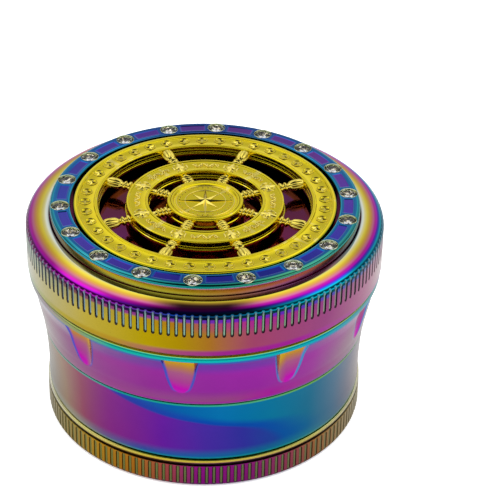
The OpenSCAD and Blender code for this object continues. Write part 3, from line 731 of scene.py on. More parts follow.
def build_ring():
    P, T = rounded([(RI, FLOOR, 0, "w_in"), (RO, FLOOR, 0, "wall"), (RO, TOP, 0.55, "top"), (RI, TOP, 0.3, "w_in")], 7)
    P, T = split_long(P, T, {"top": 0.09, "wall": 0.25, "w_in": 0.4})
    T = ["top" if (t == "w_in" and p[1] > TOP - 0.31) else t for p, t in zip(P, T)]
    rs, dp = 1.6, 1.25
    step = 2 * PI / STONES

    def disp(Th, R, Z, tags):
        k = np.round((Th - PH) / step)
        c = PH + k * step
        dx = R * np.cos(Th - c) - 25.4
        dy = R * np.sin(Th - c)
        d = np.sqrt(dx ** 2 + dy ** 2)
        top = (Z > TOP - 0.32)
        # cupped pocket with a fine raised lip
        pocket = np.clip((rs - d) / 0.16, 0, 1)
        pocket = pocket * pocket * (3 - 2 * pocket)
        Zn = np.where(top, Z - dp * pocket, Z)
        # sunk violet field between the stones
        a = np.abs(((Th - PH) / step - 0.5) - np.round((Th - PH) / step - 0.5)) * step   # angle from field centre
        fa = np.clip((math.radians(5.35) - a) * 25.1 / 0.14, 0, 1)
        fr = np.clip(np.minimum(R - 24.2, 26.05 - R) / 0.14, 0, 1)
        f = np.minimum(fa, fr) * top * (pocket <= 0)
        Zn = Zn - 0.09 * f
        g = np.minimum((math.radians(5.35) - a) * 25.1, np.minimum(R - 24.2, 26.05 - R))
        line = np.clip(1 - np.abs(g + 0.02) / 0.1, 0, 1) * top
        return R, Zn, {"field": f, "field_line": line, "pocket": pocket * top}

    mats = [M["ring_top"], M["ring_wall"], M["recess"]]
    tm = {"top": 0, "wall": 1, "w_in": 2}
    return lathe("ring_body", P, T, 1440, mats, lambda t: tm[t], disp, sharp=45)


ring = place(build_ring(), "lid", "iridescent_ring", "stone_ring")

# ------------------------------------------------------------------ rhinestones


def rotated(V, a, r=0.0, z=0.0):
    """Points moved out along X by r and up by z, then turned about Z by a."""
    V = np.asarray(V, float) + (r, 0, z)
    c, s = math.cos(a), math.sin(a)
    return np.stack([V[:, 0] * c - V[:, 1] * s, V[:, 0] * s + V[:, 1] * c, V[:, 2]], -1)


def stone_mesh():
    """Round brilliant: octagonal table, star and kite facets, girdle, eight-sided pavilion with a flat culet."""
    rg, zt, zg1, zg0, zc = 1.5, 1.02, 0.7, 0.58, 0.02
    V, F = [], []
    tab = [len(V) + i for i in range(8)]
    V += [(0.86 * math.cos(i * PI / 4), 0.86 * math.sin(i * PI / 4), zt) for i in range(8)]
    star = [len(V) + i for i in range(8)]
    V += [(1.17 * math.cos((i + 0.5) * PI / 4), 1.17 * math.sin((i + 0.5) * PI / 4), zt - 0.135) for i in range(8)]
    g1 = [len(V) + i for i in range(16)]
    V += [(rg * math.cos(i * PI / 8), rg * math.sin(i * PI / 8), zg1) for i in range(16)]
    g0 = [len(V) + i for i in range(16)]
    V += [(rg * math.cos(i * PI / 8), rg * math.sin(i * PI / 8), zg0) for i in range(16)]
    cu = [len(V) + i for i in range(8)]
    V += [(0.5 * math.cos((i + 0.5) * PI / 4), 0.5 * math.sin((i + 0.5) * PI / 4), zc) for i in range(8)]
    F.append(tuple(tab))
    for i in range(8):
        j = (i + 1) % 8
        F.append((tab[i], star[i], tab[j]))
        F.append((tab[i], star[(i - 1) % 8], g1[2 * i]))
        F.append((tab[i], g1[2 * i], star[i]))
        F.append((star[i], g1[2 * i], g1[2 * i + 1]))
        F.append((star[i], g1[2 * i + 1], g1[(2 * i + 2) % 16]))
    for i in range(16):
        j = (i + 1) % 16
        F.append((g1[i], g0[i], g0[j], g1[j]))
    for i in range(8):
        j = (i + 1) % 8
        F.append((cu[i], g0[2 * i], g0[2 * i + 1]))
        F.append((cu[i], g0[2 * i + 1], g0[(2 * i + 2) % 16]))
        F.append((cu[i], g0[(2 * i + 2) % 16], cu[j]))
    F.append(tuple(reversed(cu)))
    return np.array(V), F, g0, cu


def build_stones():
    V, F, g0, cu = stone_mesh()
    glass, cups = Bag(), Bag()
    # foil cup: the pavilion again, a hair outside it, open at the girdle, and closed by an outer skin
    C = np.array(V)
    ring0, ring1 = [C[i] * (1.012, 1.012, 1) + (0, 0, -0.01) for i in g0], [C[i] * (1.03, 1.03, 1) - (0, 0, 0.012) for i in cu]
    n0, n1 = len(ring0), len(ring1)
    o0 = [p * (1.03, 1.03, 1) - (0, 0, 0.0) for p in ring0]
    o1 = [p * (1.1, 1.1, 1) - (0, 0, 0.006) for p in ring1]
    CV = np.array(ring0 + ring1 + o0 + o1)
    CF = []
    for i in range(8):
        j = (i + 1) % 8
        for off, flip in ((0, False), (n0 + n1, True)):
            a, b, c = off + 2 * i, off + 2 * i + 1, off + (2 * i + 2) % 16
            p, q = off + 16 + i, off + 16 + j
            for f in ((p, a, b), (p, b, c), (p, c, q)):
                CF.append(f[::-1] if flip else f)
    CF.append(tuple(range(16, 24)))
    CF.append(tuple(range(24 + 16 + 7, 24 + 16 - 1, -1)))
    for i in range(16):
        j = (i + 1) % 16
        CF.append((i, j, 24 + j, 24 + i))
    for k in range(STONES):
        a = PH + k * 2 * PI / STONES
        glass.add(rotated(rotated(V, 0.35 + 0.9 * k), a, 25.4, TOP - 1.08), F)
        cups.add(rotated(rotated(CV, 0.35 + 0.9 * k), a, 25.4, TOP - 1.08), CF)
    bez = Bag()
    sec = [(1.505, -0.45), (1.6, -0.45), (1.62, -0.08), (1.6, -0.02), (1.555, -0.005), (1.51, -0.08)]
    n = 32
    BV = [(r * math.cos(2 * PI * i / n), r * math.sin(2 * PI * i / n), z) for i in range(n) for r, z in sec]
    k6 = len(sec)
    BF = [(i * k6 + j, i * k6 + (j + 1) % k6, ((i + 1) % n) * k6 + (j + 1) % k6, ((i + 1) % n) * k6 + j) for i in range(n) for j in range(k6)]
    for k in range(STONES):
        bez.add(rotated(BV, PH + k * 2 * PI / STONES, 25.4, TOP), BF)
    place(bez.make("stone_bezels", [M["bezel"]], sharp=30), "lid", "iridescent_ring", "stone_ring")
    g = glass.make("stones", [M["crystal"]], smooth=False)
    c = cups.make("stone_foils", [M["foil"]], smooth=False)
    place(g, "lid", "crystal", "rhinestones")
    place(c, "lid", "crystal", "rhinestones")


build_stones()

# ------------------------------------------------------------------ helm wheel
W_TOP = TOP - 0.12
W_Z0 = W_TOP - 1.85
W_R = 23.07
RIM_RI, MID_RO, MID_RI, HUB_R = 18.82, 13.83, 10.03, 6.7


def band_outline(ri, ro, lip=0.16, sunk=0.12, rim_in=0.42, rim_out=0.42):
    """Flat ring with a raised border on each edge, a sunk field and stepped lower edges."""
    return [(ri - 0.22, W_Z0, 0.06), (ro + 0.22, W_Z0, 0.06), (ro + 0.22, W_Z0 + 0.42, 0.08), (ro + 0.06, W_Z0 + 0.5, 0.04), (ro + 0.06, W_Z0 + 0.8, 0.06),
            (ro, W_Z0 + 0.86, 0.03), (ro, W_TOP, lip), (ro - rim_out, W_TOP, 0.1), (ro - rim_out - 0.1, W_TOP - sunk, 0.05),
            (ri + rim_in + 0.1, W_TOP - sunk, 0.05), (ri + rim_in, W_TOP, 0.1), (ri, W_TOP, lip), (ri, W_Z0 + 0.86, 0.03), (ri - 0.06, W_Z0 + 0.8, 0.06),
            (ri - 0.06, W_Z0 + 0.5, 0.04), (ri - 0.22, W_Z0 + 0.42, 0.08)]


def build_wheel():
    gold = [M["gold"]]
    zero = lambda t: 0
    # rim: straight outside, stepped inside, broad sunk band for the studs
    P, T = rounded([(RIM_RI - 0.22, W_Z0, 0.06), (W_R, W_Z0, 0.1), (W_R, W_TOP, 0.28), (W_R - 0.8, W_TOP, 0.12), (W_R - 0.9, W_TOP - 0.2, 0.06),
                    (RIM_RI + 0.7, W_TOP - 0.2, 0.06), (RIM_RI + 0.58, W_TOP, 0.12), (RIM_RI, W_TOP, 0.2), (RIM_RI, W_Z0 + 1.15, 0.03), (RIM_RI - 0.08, W_Z0 + 1.08, 0.06),
                    (RIM_RI - 0.08, W_Z0 + 0.66, 0.04), (RIM_RI - 0.15, W_Z0 + 0.6, 0.04), (RIM_RI - 0.15, W_Z0 + 0.42, 0.03), (RIM_RI - 0.22, W_Z0 + 0.38, 0.05)], 3)
    place(lathe("wheel_rim", P, T, 360, gold, zero), "wheel", "gold_plate", "helm_wheel")
    P, T = rounded(band_outline(MID_RI, MID_RO), 3)
    place(lathe("wheel_mid_ring", P, T, 300, gold, zero), "wheel", "gold_plate", "helm_wheel")
    # hub with the medallion's seat and the bearing's bore
    P, T = rounded([(3.0, W_Z0, 0.05), (HUB_R + 0.2, W_Z0, 0.06), (HUB_R + 0.2, W_Z0 + 0.42, 0.08), (HUB_R, W_Z0 + 0.5, 0.04), (HUB_R, W_TOP, 0.26), (6.1, W_TOP, 0.08),
                    (6.1, TOP - 0.82, 0.03), (3.0, TOP - 0.82, 0.05)], 4)
    place(lathe("wheel_hub", P, T, 200, gold, zero), "wheel", "gold_plate", "helm_wheel")

    zc = W_Z0 + 0.95
    spokes = Bag()
    outer = smooth_profile([(0.0, 0.5), (0.45, 0.52), (0.62, 0.66), (0.8, 0.86), (1.0, 0.9), (1.18, 0.84), (1.34, 0.58), (1.5, 0.52), (1.66, 0.62), (1.84, 0.82), (2.02, 0.84), (2.2, 0.66),
                            (2.36, 0.5), (2.55, 0.56), (2.8, 0.7), (3.1, 0.8), (3.7, 0.9), (4.3, 0.93), (4.9, 0.9), (5.3, 0.82), (5.5, 0.7), (5.62, 0.78), (5.8, 0.8), (5.95, 0.74)], 0.05)
    inner = smooth_profile([(0.0, 0.6), (0.5, 0.6), (0.78, 0.62), (0.98, 0.84), (1.16, 0.9), (1.34, 0.82), (1.5, 0.62), (1.64, 0.76), (1.82, 0.92), (2.0, 0.84), (2.16, 0.62),
                            (2.32, 0.76), (2.5, 0.9), (2.7, 0.82), (2.86, 0.6), (3.1, 0.54), (3.6, 0.55), (4.1, 0.55)], 0.05)
    for k in range(8):
        a = math.radians(22.5) + k * PI / 4
        V, F = turned(outer, 48)
        ph = np.arctan2(V[:, 2], V[:, 1])
        rr = np.hypot(V[:, 1], V[:, 2])
        w = np.clip((V[:, 0] - 2.6) / 0.5, 0, 1) * np.clip((5.35 - V[:, 0]) / 0.35, 0, 1)
        # reeded grip
        s = 1 + 0.17 * w * (np.abs(np.cos(4 * ph)) ** 0.7 - 0.6)
        V[:, 1] *= s * 1.16
        V[:, 2] *= s * 0.96
        spokes.add(rotated(V, a, MID_RO - 0.4, zc), F)
        V, F = turned(inner, 36)
        V[:, 1] *= 1.14
        spokes.add(rotated(V, a, HUB_R - 0.4, zc), F)
    place(spokes.make("wheel_spokes", [M["relief_gold_painted_highlight"]], sharp=50), "wheel", "gold_plate", "helm_wheel")

    # four-point studs on low round seats
    studs = Bag()
    for k in range(40):
        a = math.radians(2 + 9 * k)
        V, F = [], []
        n = 24
        seat = ((1.1, -0.05), (1.08, 0.02), (1.0, 0.12), (0.94, 0.13), (0.86, 0.05), (0.78, 0.01))
        for r, z in seat:
            V += [(r * math.cos(2 * PI * i / n), r * math.sin(2 * PI * i / n), z) for i in range(n)]
        for q in range(len(seat) - 1):
            for i in range(n):
                j = (i + 1) % n
                F.append((q * n + i, q * n + j, (q + 1) * n + j, (q + 1) * n + i))
        F.append(tuple((len(seat) - 1) * n + i for i in range(n)))
        F.append(tuple(range(n))[::-1])
        studs.add(rotated(V, a, 21.0, W_TOP - 0.2), F)
        V, F = [], []
        for i in range(8):
            r = 0.93 if i % 2 == 0 else 0.38
            V.append((r * math.cos(i * PI / 4), r * math.sin(i * PI / 4), 0.0))
        for i in range(8):
            r = 0.92 if i % 2 == 0 else 0.37
            V.append((r * math.cos(i * PI / 4), r * math.sin(i * PI / 4), 0.05))
        V.append((0, 0, 0.31))
        for i in range(8):
            j = (i + 1) % 8
            F.append((i, j, 8 + j, 8 + i))
            F.append((8 + i, 8 + j, 16))
        F.append(tuple(range(8))[::-1])
        studs.add(rotated(V, a, 21.0, W_TOP - 0.2), F)
    place(studs.make("wheel_studs", gold, sharp=20), "wheel", "gold_plate", "helm_wheel")

    # relief on the middle ring: a rosette over each spoke, plain scrolls between
    rel = Bag()
    zf = W_TOP - 0.12

    def tube(path, rad, n=8, sq=0.75):
        P = np.array(path, float)
        tan = np.gradient(P, axis=0)
        tan /= np.linalg.norm(tan, axis=1)[:, None] + 1e-12
        up = np.array([0, 0, 1.0])
        side = np.cross(tan, up)
        side /= np.linalg.norm(side, axis=1)[:, None] + 1e-12
        rad = np.broadcast_to(rad, (len(P),))
        th = np.linspace(0, 2 * PI, n, endpoint=False)
        V = (P[:, None, :] + rad[:, None, None] * (np.cos(th)[None, :, None] * side[:, None, :] + sq * np.sin(th)[None, :, None] * up[None, None, :])).reshape(-1, 3)
        F = [(i * n + k, i * n + (k + 1) % n, (i + 1) * n + (k + 1) % n, (i + 1) * n + k) for i in range(len(P) - 1) for k in range(n)]
        F.append(tuple(range(n))[::-1])
        F.append(tuple((len(P) - 1) * n + k for k in range(n)))
        return V, F

    def polar(r, a, z):
        return (r * math.cos(a), r * math.sin(a), z)

    def dome(r, a, z, rx, ry, h, twist=0.0, n=16, m=5):
        V, F = [], []
        for i in range(m + 1):
            t = i / m * PI / 2
            for k in range(n):
                p = 2 * PI * k / n
                V.append((rx * math.cos(t) * math.cos(p), ry * math.cos(t) * math.sin(p), h * math.sin(t)))
        for i in range(m):
            for k in range(n):
                F.append((i * n + k, i * n + (k + 1) % n, (i + 1) * n + (k + 1) % n, (i + 1) * n + k))
        F.append(tuple(range(n))[::-1])
        V = rotated(rotated(V, twist), a, r, z)
        return V, F

    for k in range(8):
        a0 = math.radians(22.5) + k * PI / 4
        # rosette: a long boss along the spoke, two side leaves and four beads
        rel.add(*dome(11.93, a0, zf - 0.02, 1.75, 0.5, 0.2))
        rel.add(*dome(11.93, a0, zf - 0.02, 0.62, 0.95, 0.22))
        for s in (-1, 1):
            for dr in (-0.95, 0.95):
                rel.add(*dome(11.93 + dr, a0 + s * math.radians(3.6), zf - 0.02, 0.26, 0.26, 0.2))
            rel.add(*dome(11.93, a0 + s * math.radians(6.0), zf - 0.02, 0.75, 0.22, 0.19))
        # scrolls: a waving stem with curled tips and berries
        ac = a0 + PI / 8
        n = 60
        stem = []
        for i in range(n + 1):
            t = -1 + 2 * i / n
            stem.append(polar(11.93 + 0.42 * math.sin(t * 2.5 * PI), ac + math.radians(12.0) * t, zf + 0.01))
        w = 0.17 * np.sqrt(np.clip(1 - np.abs(np.linspace(-1, 1, n + 1)) ** 3, 0.12, 1))
        rel.add(*tube(stem, w, 10, 1.15))
        for q, s in ((-0.8, -1), (-0.4, 1), (0.0, -1), (0.4, 1), (0.8, -1)):
            c0 = (11.93 - s * 0.16, ac + math.radians(12.0) * q)
            curl = []
            for i in range(15):
                u = i / 14
                rad = 0.5 * (1 - 0.72 * u)
                ph = s * (PI * 0.5 + u * 1.5 * PI)
                x, y = rad * math.cos(ph), rad * math.sin(ph)
                curl.append(polar(c0[0] + y * 0.9, c0[1] + x / 12.0, zf + 0.02))
            rel.add(*tube(curl, np.linspace(0.14, 0.08, 15), 8, 1.3))
            rel.add(*dome(c0[0], c0[1], zf - 0.02, 0.14, 0.14, 0.13, n=10, m=4))
    place(rel.make("wheel_relief", [M["relief_gold_painted_highlight"]], sharp=60), "wheel", "gold_plate", "helm_wheel")

    # medallion: dished disc, raised border, compass star with ridged points
    prof = [(0, TOP - 0.62, 0), (6.05, TOP - 0.62, 0.04), (6.05, TOP - 0.08, 0.16), (5.66, TOP - 0.08, 0.12), (5.5, TOP - 0.4, 0.08), (5.0, TOP - 0.42, 0), (3.0, TOP - 0.42, 0), (0, TOP - 0.42, 0)]
    P, T = rounded(prof, 4)
    place(lathe("medallion_disc", P, T, 180, [M["gold"]], lambda t: 0), "wheel", "gold_plate", "medallion_cap")
    star = Bag()

    def points(radii, zc_, zt, base, n):
        V = [(0, 0, zc_)]
        for i in range(2 * n):
            r, ang = radii[i % len(radii)], i * PI / n
            V.append((r * math.cos(ang), r * math.sin(ang), zt if i % 2 == 0 else base))
        low = len(V)
        for i in range(2 * n):
            r, ang = radii[i % len(radii)], i * PI / n
            V.append((r * math.cos(ang), r * math.sin(ang), TOP - 0.5))
        F = []
        for i in range(2 * n):
            j = (i + 1) % (2 * n)
            F.append((0, 1 + i, 1 + j))
            F.append((1 + i, low + i, low + j, 1 + j))
        F.append(tuple(low + i for i in range(2 * n))[::-1])
        return np.array(V), F

    star.add(*points([4.75, 0.95, 3.1, 0.95], TOP - 0.01, TOP - 0.36, TOP - 0.38, 8))
    th = np.linspace(0, 2 * PI, 97)
    for r in (5.1, 3.55):
        V, F = tube([polar(r, t, TOP - 0.4) for t in th], 0.1, 8, 1.0)
        star.add(V, F)
    for i in range(32):
        star.add(*dome(4.55, (i + 0.5) * PI / 16, TOP - 0.43, 0.16, 0.16, 0.16, n=8, m=3))
    place(star.make("medallion_star", [M["relief_gold_painted_highlight"]], sharp=12), "wheel", "gold_plate", "medallion_cap")


build_wheel()

# ------------------------------------------------------------------ grinding chamber
CHZ = 29.8
FL_R, FL_X, FL_Z0, FL_Z1 = 3.5, 32.7, 21.8, 28.55
FLUTES, FL_PH = 10, math.radians(-97.5)


FL_TOP = 31.28


def build_chamber():
    out = [(24.4, 14.75, 0.1, "sp"), (25.8, 14.75, 0.2, "sp"), (25.8, 18.1, 0.05, "sp"), (28.95, 18.1, 0.25, "b")]
    out += [(29.25, 20.2, 0, "b"), (29.48, 21.2, 0, "b"), (29.69, 22.2, 0, "b"), (29.9, 23.2, 0, "b"), (30.11, 24.2, 0, "b"), (30.3, 25.25, 0, "b"), (30.47, 26.2, 0, "b"),
            (30.72, 27.05, 0, "b"), (30.92, 27.6, 0, "b"), (31.12, 28.1, 0, "b"), (FL_TOP, FL_Z1, 0, "b"), (FL_TOP, FL_Z1, 0, "s")]
    out += [(30.2 + 1.1 * math.cos(math.radians(t)), 28.65 + 1.15 * math.sin(math.radians(t)), 0, "s") for t in (0, 12, 24, 36, 48, 60, 72, 82)]
    out += [(30.2, CHZ, 0, "s"), (30.1, CHZ, 0, "n"), (30.1, 29.15, 0, "n"), (28.6, 29.15, 0, "n"), (28.6, 31.4, 0.08, "n"), (28.2, 31.4, 0.05, "n"), (28.2, 34.0, 0.05, "n"), (28.6, 34.0, 0.08, "n"),
            (28.6, 35.9, 0.35, "n"), (26.9, 35.9, 0.3, "in"), (26.9, 22.9, 0.5, "in"), (26.0, 22.9, 0, "in"), (26.0, 20.4, 0, "in"), (24.4, 20.4, 0, "in")]
    P, T = rounded(out, 4)
    P, T = split_long(P, T, {"b": 0.3, "in": 2.0})
    # columns: fine inside each flute and at its edge, coarser between
    nfl = 41
    step = 2 * PI / FLUTES
    th, kind = [], []
    for k in range(FLUTES):
        c = FL_PH + k * step
        for i in range(nfl):
            th.append(c)
            kind.append((k, 0, -1 + 2 * i / (nfl - 1)))
        for i in range(1, 41):
            th.append(c)
            kind.append((k, 1, (i / 41)))
    K = np.array(kind)
    th = np.array(th)

    def disp(Th, R, Z, tags):
        c = th[:, None] * np.ones_like(R)
        zone = K[:, 1][:, None] * np.ones_like(R)
        p = K[:, 2][:, None] * np.ones_like(R)
        rho = np.sqrt(np.clip(FL_R ** 2 - np.clip(FL_Z0 - Z, 0, 99) ** 2, 0, None))
        cosd = (FL_X ** 2 + R ** 2 - rho ** 2) / (2 * FL_X * R)
        de = np.arccos(np.clip(cosd, -1, 1))
        inz = (Z > 18.0) & (Z <= FL_Z1 + 1e-6) & (np.isin(tags, ["b"]))[None, :]
        top_de = math.acos((FL_X ** 2 + FL_TOP ** 2 - FL_R ** 2) / (2 * FL_X * FL_TOP))
        cut = inz & (cosd < 1)
        # below the flute's tip the columns stay bunched, so that nothing shears
        ref = np.where(cut, np.maximum(de, math.radians(0.25)), math.radians(0.25))
        ref = np.where(Z > FL_Z1 - 1e-6, top_de, ref)
        fade = np.clip((20.9 - Z) / 2.6, 0, 1)
        ref = np.where(~cut & (Z < 21.6), math.radians(0.25) + fade * (top_de - math.radians(0.25)), ref)
        delta = np.where(zone == 0, p * ref, ref + p * (step - 2 * ref))
        Tn = c + delta
        rin = FL_X * np.cos(delta) - np.sqrt(np.clip(rho ** 2 - (FL_X * np.sin(delta)) ** 2, 0, None))
        carve = cut & (zone == 0)
        Rn = np.where(carve, np.minimum(R, rin), R)
        dist = np.where(zone == 0, (1 - np.abs(p)) * ref, np.minimum(p, 1 - p) * (step - 2 * ref)) * R
        dist = np.where(cut, dist, 9.0)
        side = np.where(zone == 0, p, 0.0)
        gold = np.clip(-side * np.sin(c + PI / 2), 0, 1)
        return Rn, Z, {"_T": Tn, "flute": (R - Rn) / 1.9, "flute_side": side, "flute_gold": gold, "flute_edge": dist}

    mats = [M["chamber"], M["neck"], M["chamber_inside"]]
    tm = {"sp": 1, "b": 0, "s": 0, "n": 1, "in": 2}
    return lathe("chamber_body", P, T, 0, mats, lambda t: tm[t], disp, th, sharp=32)


place(build_chamber(), "grinding_chamber", "iridescent_chamber", "grinding_chamber")


def build_plate():
    """Perforated plate with soft-edged holes, from a filled outline."""
    cu = bpy.data.curves.new("plate", "CURVE")
    cu.dimensions = "2D"
    cu.fill_mode = "BOTH"
    bev = 0.12
    cu.extrude = (1.25 - bev) * MM
    cu.bevel_depth = bev * MM
    cu.bevel_resolution = 2
    holes = [(20.9, math.radians(20 + 30 * i)) for i in range(12)] + [(14.9, math.radians(10 + 45 * i)) for i in range(8)]
    for cx, cy, r, n in [(0, 0, 26.6, 160)] + [(R * math.cos(a), R * math.sin(a), 1.7, 40) for R, a in holes]:
        sp = cu.splines.new("POLY")
        sp.points.add(n - 1)
        # the bevel grows outwards, so a hole's line is drawn wider and the rim's narrower by it
        q = r + (bev if n == 40 else -bev)
        for i, pt in enumerate(sp.points):
            t = 2 * PI * i / n
            pt.co = ((cx + q * math.cos(t)) * MM, (cy + q * math.sin(t)) * MM, 0, 1)
        sp.use_cyclic_u = True
    ob = bpy.data.objects.new("plate_curve", cu)
    scene.collection.objects.link(ob)
    bpy.context.view_layer.update()
    me = bpy.data.meshes.new_from_object(ob.evaluated_get(bpy.context.evaluated_depsgraph_get()))
    bpy.data.objects.remove(ob)
    bpy.data.curves.remove(cu)
    bm = bmesh.new()
    bm.from_mesh(me)
    bmesh.ops.translate(bm, verts=bm.verts, vec=(0, 0, 21.65 * MM))
    bmesh.ops.remove_doubles(bm, verts=bm.verts, dist=1e-6)
    bmesh.ops.recalc_face_normals(bm, faces=bm.faces)
    bm.to_mesh(me)
    bm.free()
    me.materials.clear()
    me.materials.append(M["chamber_inside"])
    me.polygons.foreach_set("use_smooth", [True] * len(me.polygons))
    me.set_sharp_from_angle(angle=math.radians(25))
    o = bpy.data.objects.new("chamber_plate", me)
    scene.collection.objects.link(o)
    return o


place(build_plate(), "grinding_chamber", "iridescent_chamber", "grinding_chamber")
P, T = rounded([(0, 22.5, 0), (5.0, 22.5, 0), (5.0, 25.2, 0.25), (4.1, 25.2, 0.1), (4.1, 23.05, 0), (0, 23.05, 0)], 4)
place(lathe("chamber_boss", P, T, 128, [M["chamber_inside"]], lambda t: 0), "grinding_chamber", "iridescent_chamber", "grinding_chamber")


# ------------------------------------------------------------------ teeth
def tooth(z0, z1, up):
    """Diamond tooth: rounded corners, slight taper, softened and slightly worn end."""
    hx, hy = 1.15, 1.9
    base, seg = [], 4
    corners = [(hx, 0), (0, hy), (-hx, 0), (0, -hy)]
    rad = [0.28, 0.2, 0.28, 0.2]
    P, _ = rounded([(x, y, r, "") for (x, y), r in zip(corners, rad)], seg)
    n = len(P)
    h = z1 - z0
    lev = [(0.0, 1.0), (0.35, 0.985), (h * 0.5, 0.975), (h - 0.34, 0.95), (h - 0.2, 0.93), (h - 0.08, 0.87), (h - 0.015, 0.78), (h, 0.7)]
    V, F = [], []
    for z, s in lev:
        zz = z0 + z if up else z1 - z
        V += [(p[0] * s, p[1] * s, zz) for p in P]
    for q in range(len(lev) - 1):
        for i in range(n):
            j = (i + 1) % n
            F.append((q * n + i, q * n + j, (q + 1) * n + j, (q + 1) * n + i))
    F.append(tuple(range(n))[::-1])
    F.append(tuple((len(lev) - 1) * n + i for i in range(n)))
    return np.array(V), F


def build_teeth(name, rings, z0, z1, up, body, node, mat):
    b = Bag()
    V, F = tooth(z0, z1, up)
    for r, n, ph in rings:
        for i in range(n):
            b.add(rotated(V, math.radians(ph + i * 360 / n), r, 0), F)
    place(b.make(name, [mat], sharp=40), body, "iridescent_teeth", node)


def teeth_mat(name, z_tip, up, hues):
    mt = Mat(name)
    az, rr, z, vec = mt.cyl()
    drift = mt.math("MULTIPLY", mt.math("SUBTRACT", mt.noise(120.0, 2.0), 0.5), 0.12)
    base = mt.ramp(mt.math("FRACT", mt.math("ADD", mt.math("ADD", az, drift), 1.0)), az_stops(hues))
    away = mt.math("SUBTRACT", z_tip, z) if up else mt.math("SUBTRACT", z, z_tip)
    mid = mt.mix(mt.rng(away, 0.5, 4.5), srgb("#c08a3c"), base)
    worn = mt.rng(mt.math("ADD", away, mt.math("MULTIPLY", mt.noise(1500.0, 3.0, 0.6), 0.3)), 0.2, 0.42, 1, 0)
    return finish_metal(mt, mt.mix(worn, mid, srgb("#d8d2c4")), 0.16)


M["lid_teeth"] = teeth_mat("lid_teeth_coat", 23.4, False, [(-150, "#3a34b0"), (-60, "#4a38b8"), (30, "#5a3aa8"), (120, "#7a4a90")])
M["cha_teeth"] = teeth_mat("chamber_teeth_coat", 35.65, True, [(-150, "#7a3ab0"), (-60, "#4a30b0"), (0, "#8a3a98"), (60, "#5a34b4"), (120, "#a0582c")])
build_teeth("lid_tooth_set", [(8.9, 5, 9), (14.9, 9, 0), (20.9, 12, 7)], 23.4, CEIL + 0.1, False, "lid", "lid_teeth", M["lid_teeth"])
build_teeth("chamber_tooth_set", [(11.9, 6, 15), (17.9, 10, 4), (24.3, 14, 12.857)], 22.8, 35.65, True, "grinding_chamber", "chamber_teeth", M["cha_teeth"])


# ------------------------------------------------------------------ threads
def thread(name, root, crest, z0, turns, phase, body, slot, node, mat):
    pitch, steps = 1.6, 72
    n = int(round(turns * steps))
    wr, wc = 0.42, 0.2
    V, F = [], []
    k = 8
    for i in range(n + 1):
        a = math.radians(phase) + 2 * PI * i / steps
        z = z0 + pitch * i / steps
        t = min(1, min(i, n - i) / 9)
        c = root + (crest - root) * (0.4 + 0.6 * math.sin(t * PI / 2))
        sec = [(root, -wr), (root + (c - root) * 0.5, -wr + (wr - wc) * 0.45), (c - (c - root) * 0.14, -wc - 0.03), (c, -wc + 0.06), (c, wc - 0.06), (c - (c - root) * 0.14, wc + 0.03),
               (root + (c - root) * 0.5, wr - (wr - wc) * 0.45), (root, wr)]
        V += [(r * math.cos(a), r * math.sin(a), z + dz) for r, dz in sec]
    for i in range(n):
        for j in range(k):
            j2 = (j + 1) % k
            F.append((i * k + j, i * k + j2, (i + 1) * k + j2, (i + 1) * k + j))
    F.append(tuple(range(k))[::-1])
    F.append(tuple(n * k + j for j in range(k)))
    b = Bag()
    b.add(V, F)
    place(b.make(name, [mat], sharp=45), body, slot, node)


# ------------------------------------------------------------------ sieve chamber
def build_sieve():
    out = [(24.4, 2.4, 0.1, "in"), (25.8, 2.4, 0.2, "th"), (25.8, 5.75, 0.04, "th"), (28.3, 5.75, 0.22, "b"), (28.3, 7.75, 0, "b"), (28.28, 9.5, 0, "b"), (28.32, 11.0, 0, "b"), (28.4, 12.6, 0, "b"),
           (28.5, 14.0, 0, "b"), (28.6, 15.2, 0, "b"), (28.7, 16.2, 0, "b"), (28.8, 17.1, 0, "b"), (28.87, 17.95, 0.2, "top"), (26.85, 17.95, 0.12, "in"), (26.85, 14.55, 0.06, "in"), (25.6, 14.55, 0.15, "in"),
           (25.6, 9.0, 0.05, "in"), (25.95, 9.0, 0, "in"), (25.95, 7.75, 0, "in"), (25.6, 7.75, 0, "in"), (25.6, 7.4, 0, "in"), (24.0, 7.4, 0.08, "in"), (24.0, 6.6, 0.05, "in"), (24.4, 6.2, 0, "in")]
    P, T = rounded(out, 4)
    P, T = split_long(P, T, {"b": 0.6, "in": 2.5})
    mats = [M["sieve"], M["sieve_inside"], M["neck"]]
    tm = {"b": 0, "top": 0, "in": 1, "th": 2}
    return lathe("sieve_body", P, T, 256, mats, lambda t: tm[t], sharp=40)


place(build_sieve(), "sieve_chamber", "iridescent_sieve", "sieve_chamber")


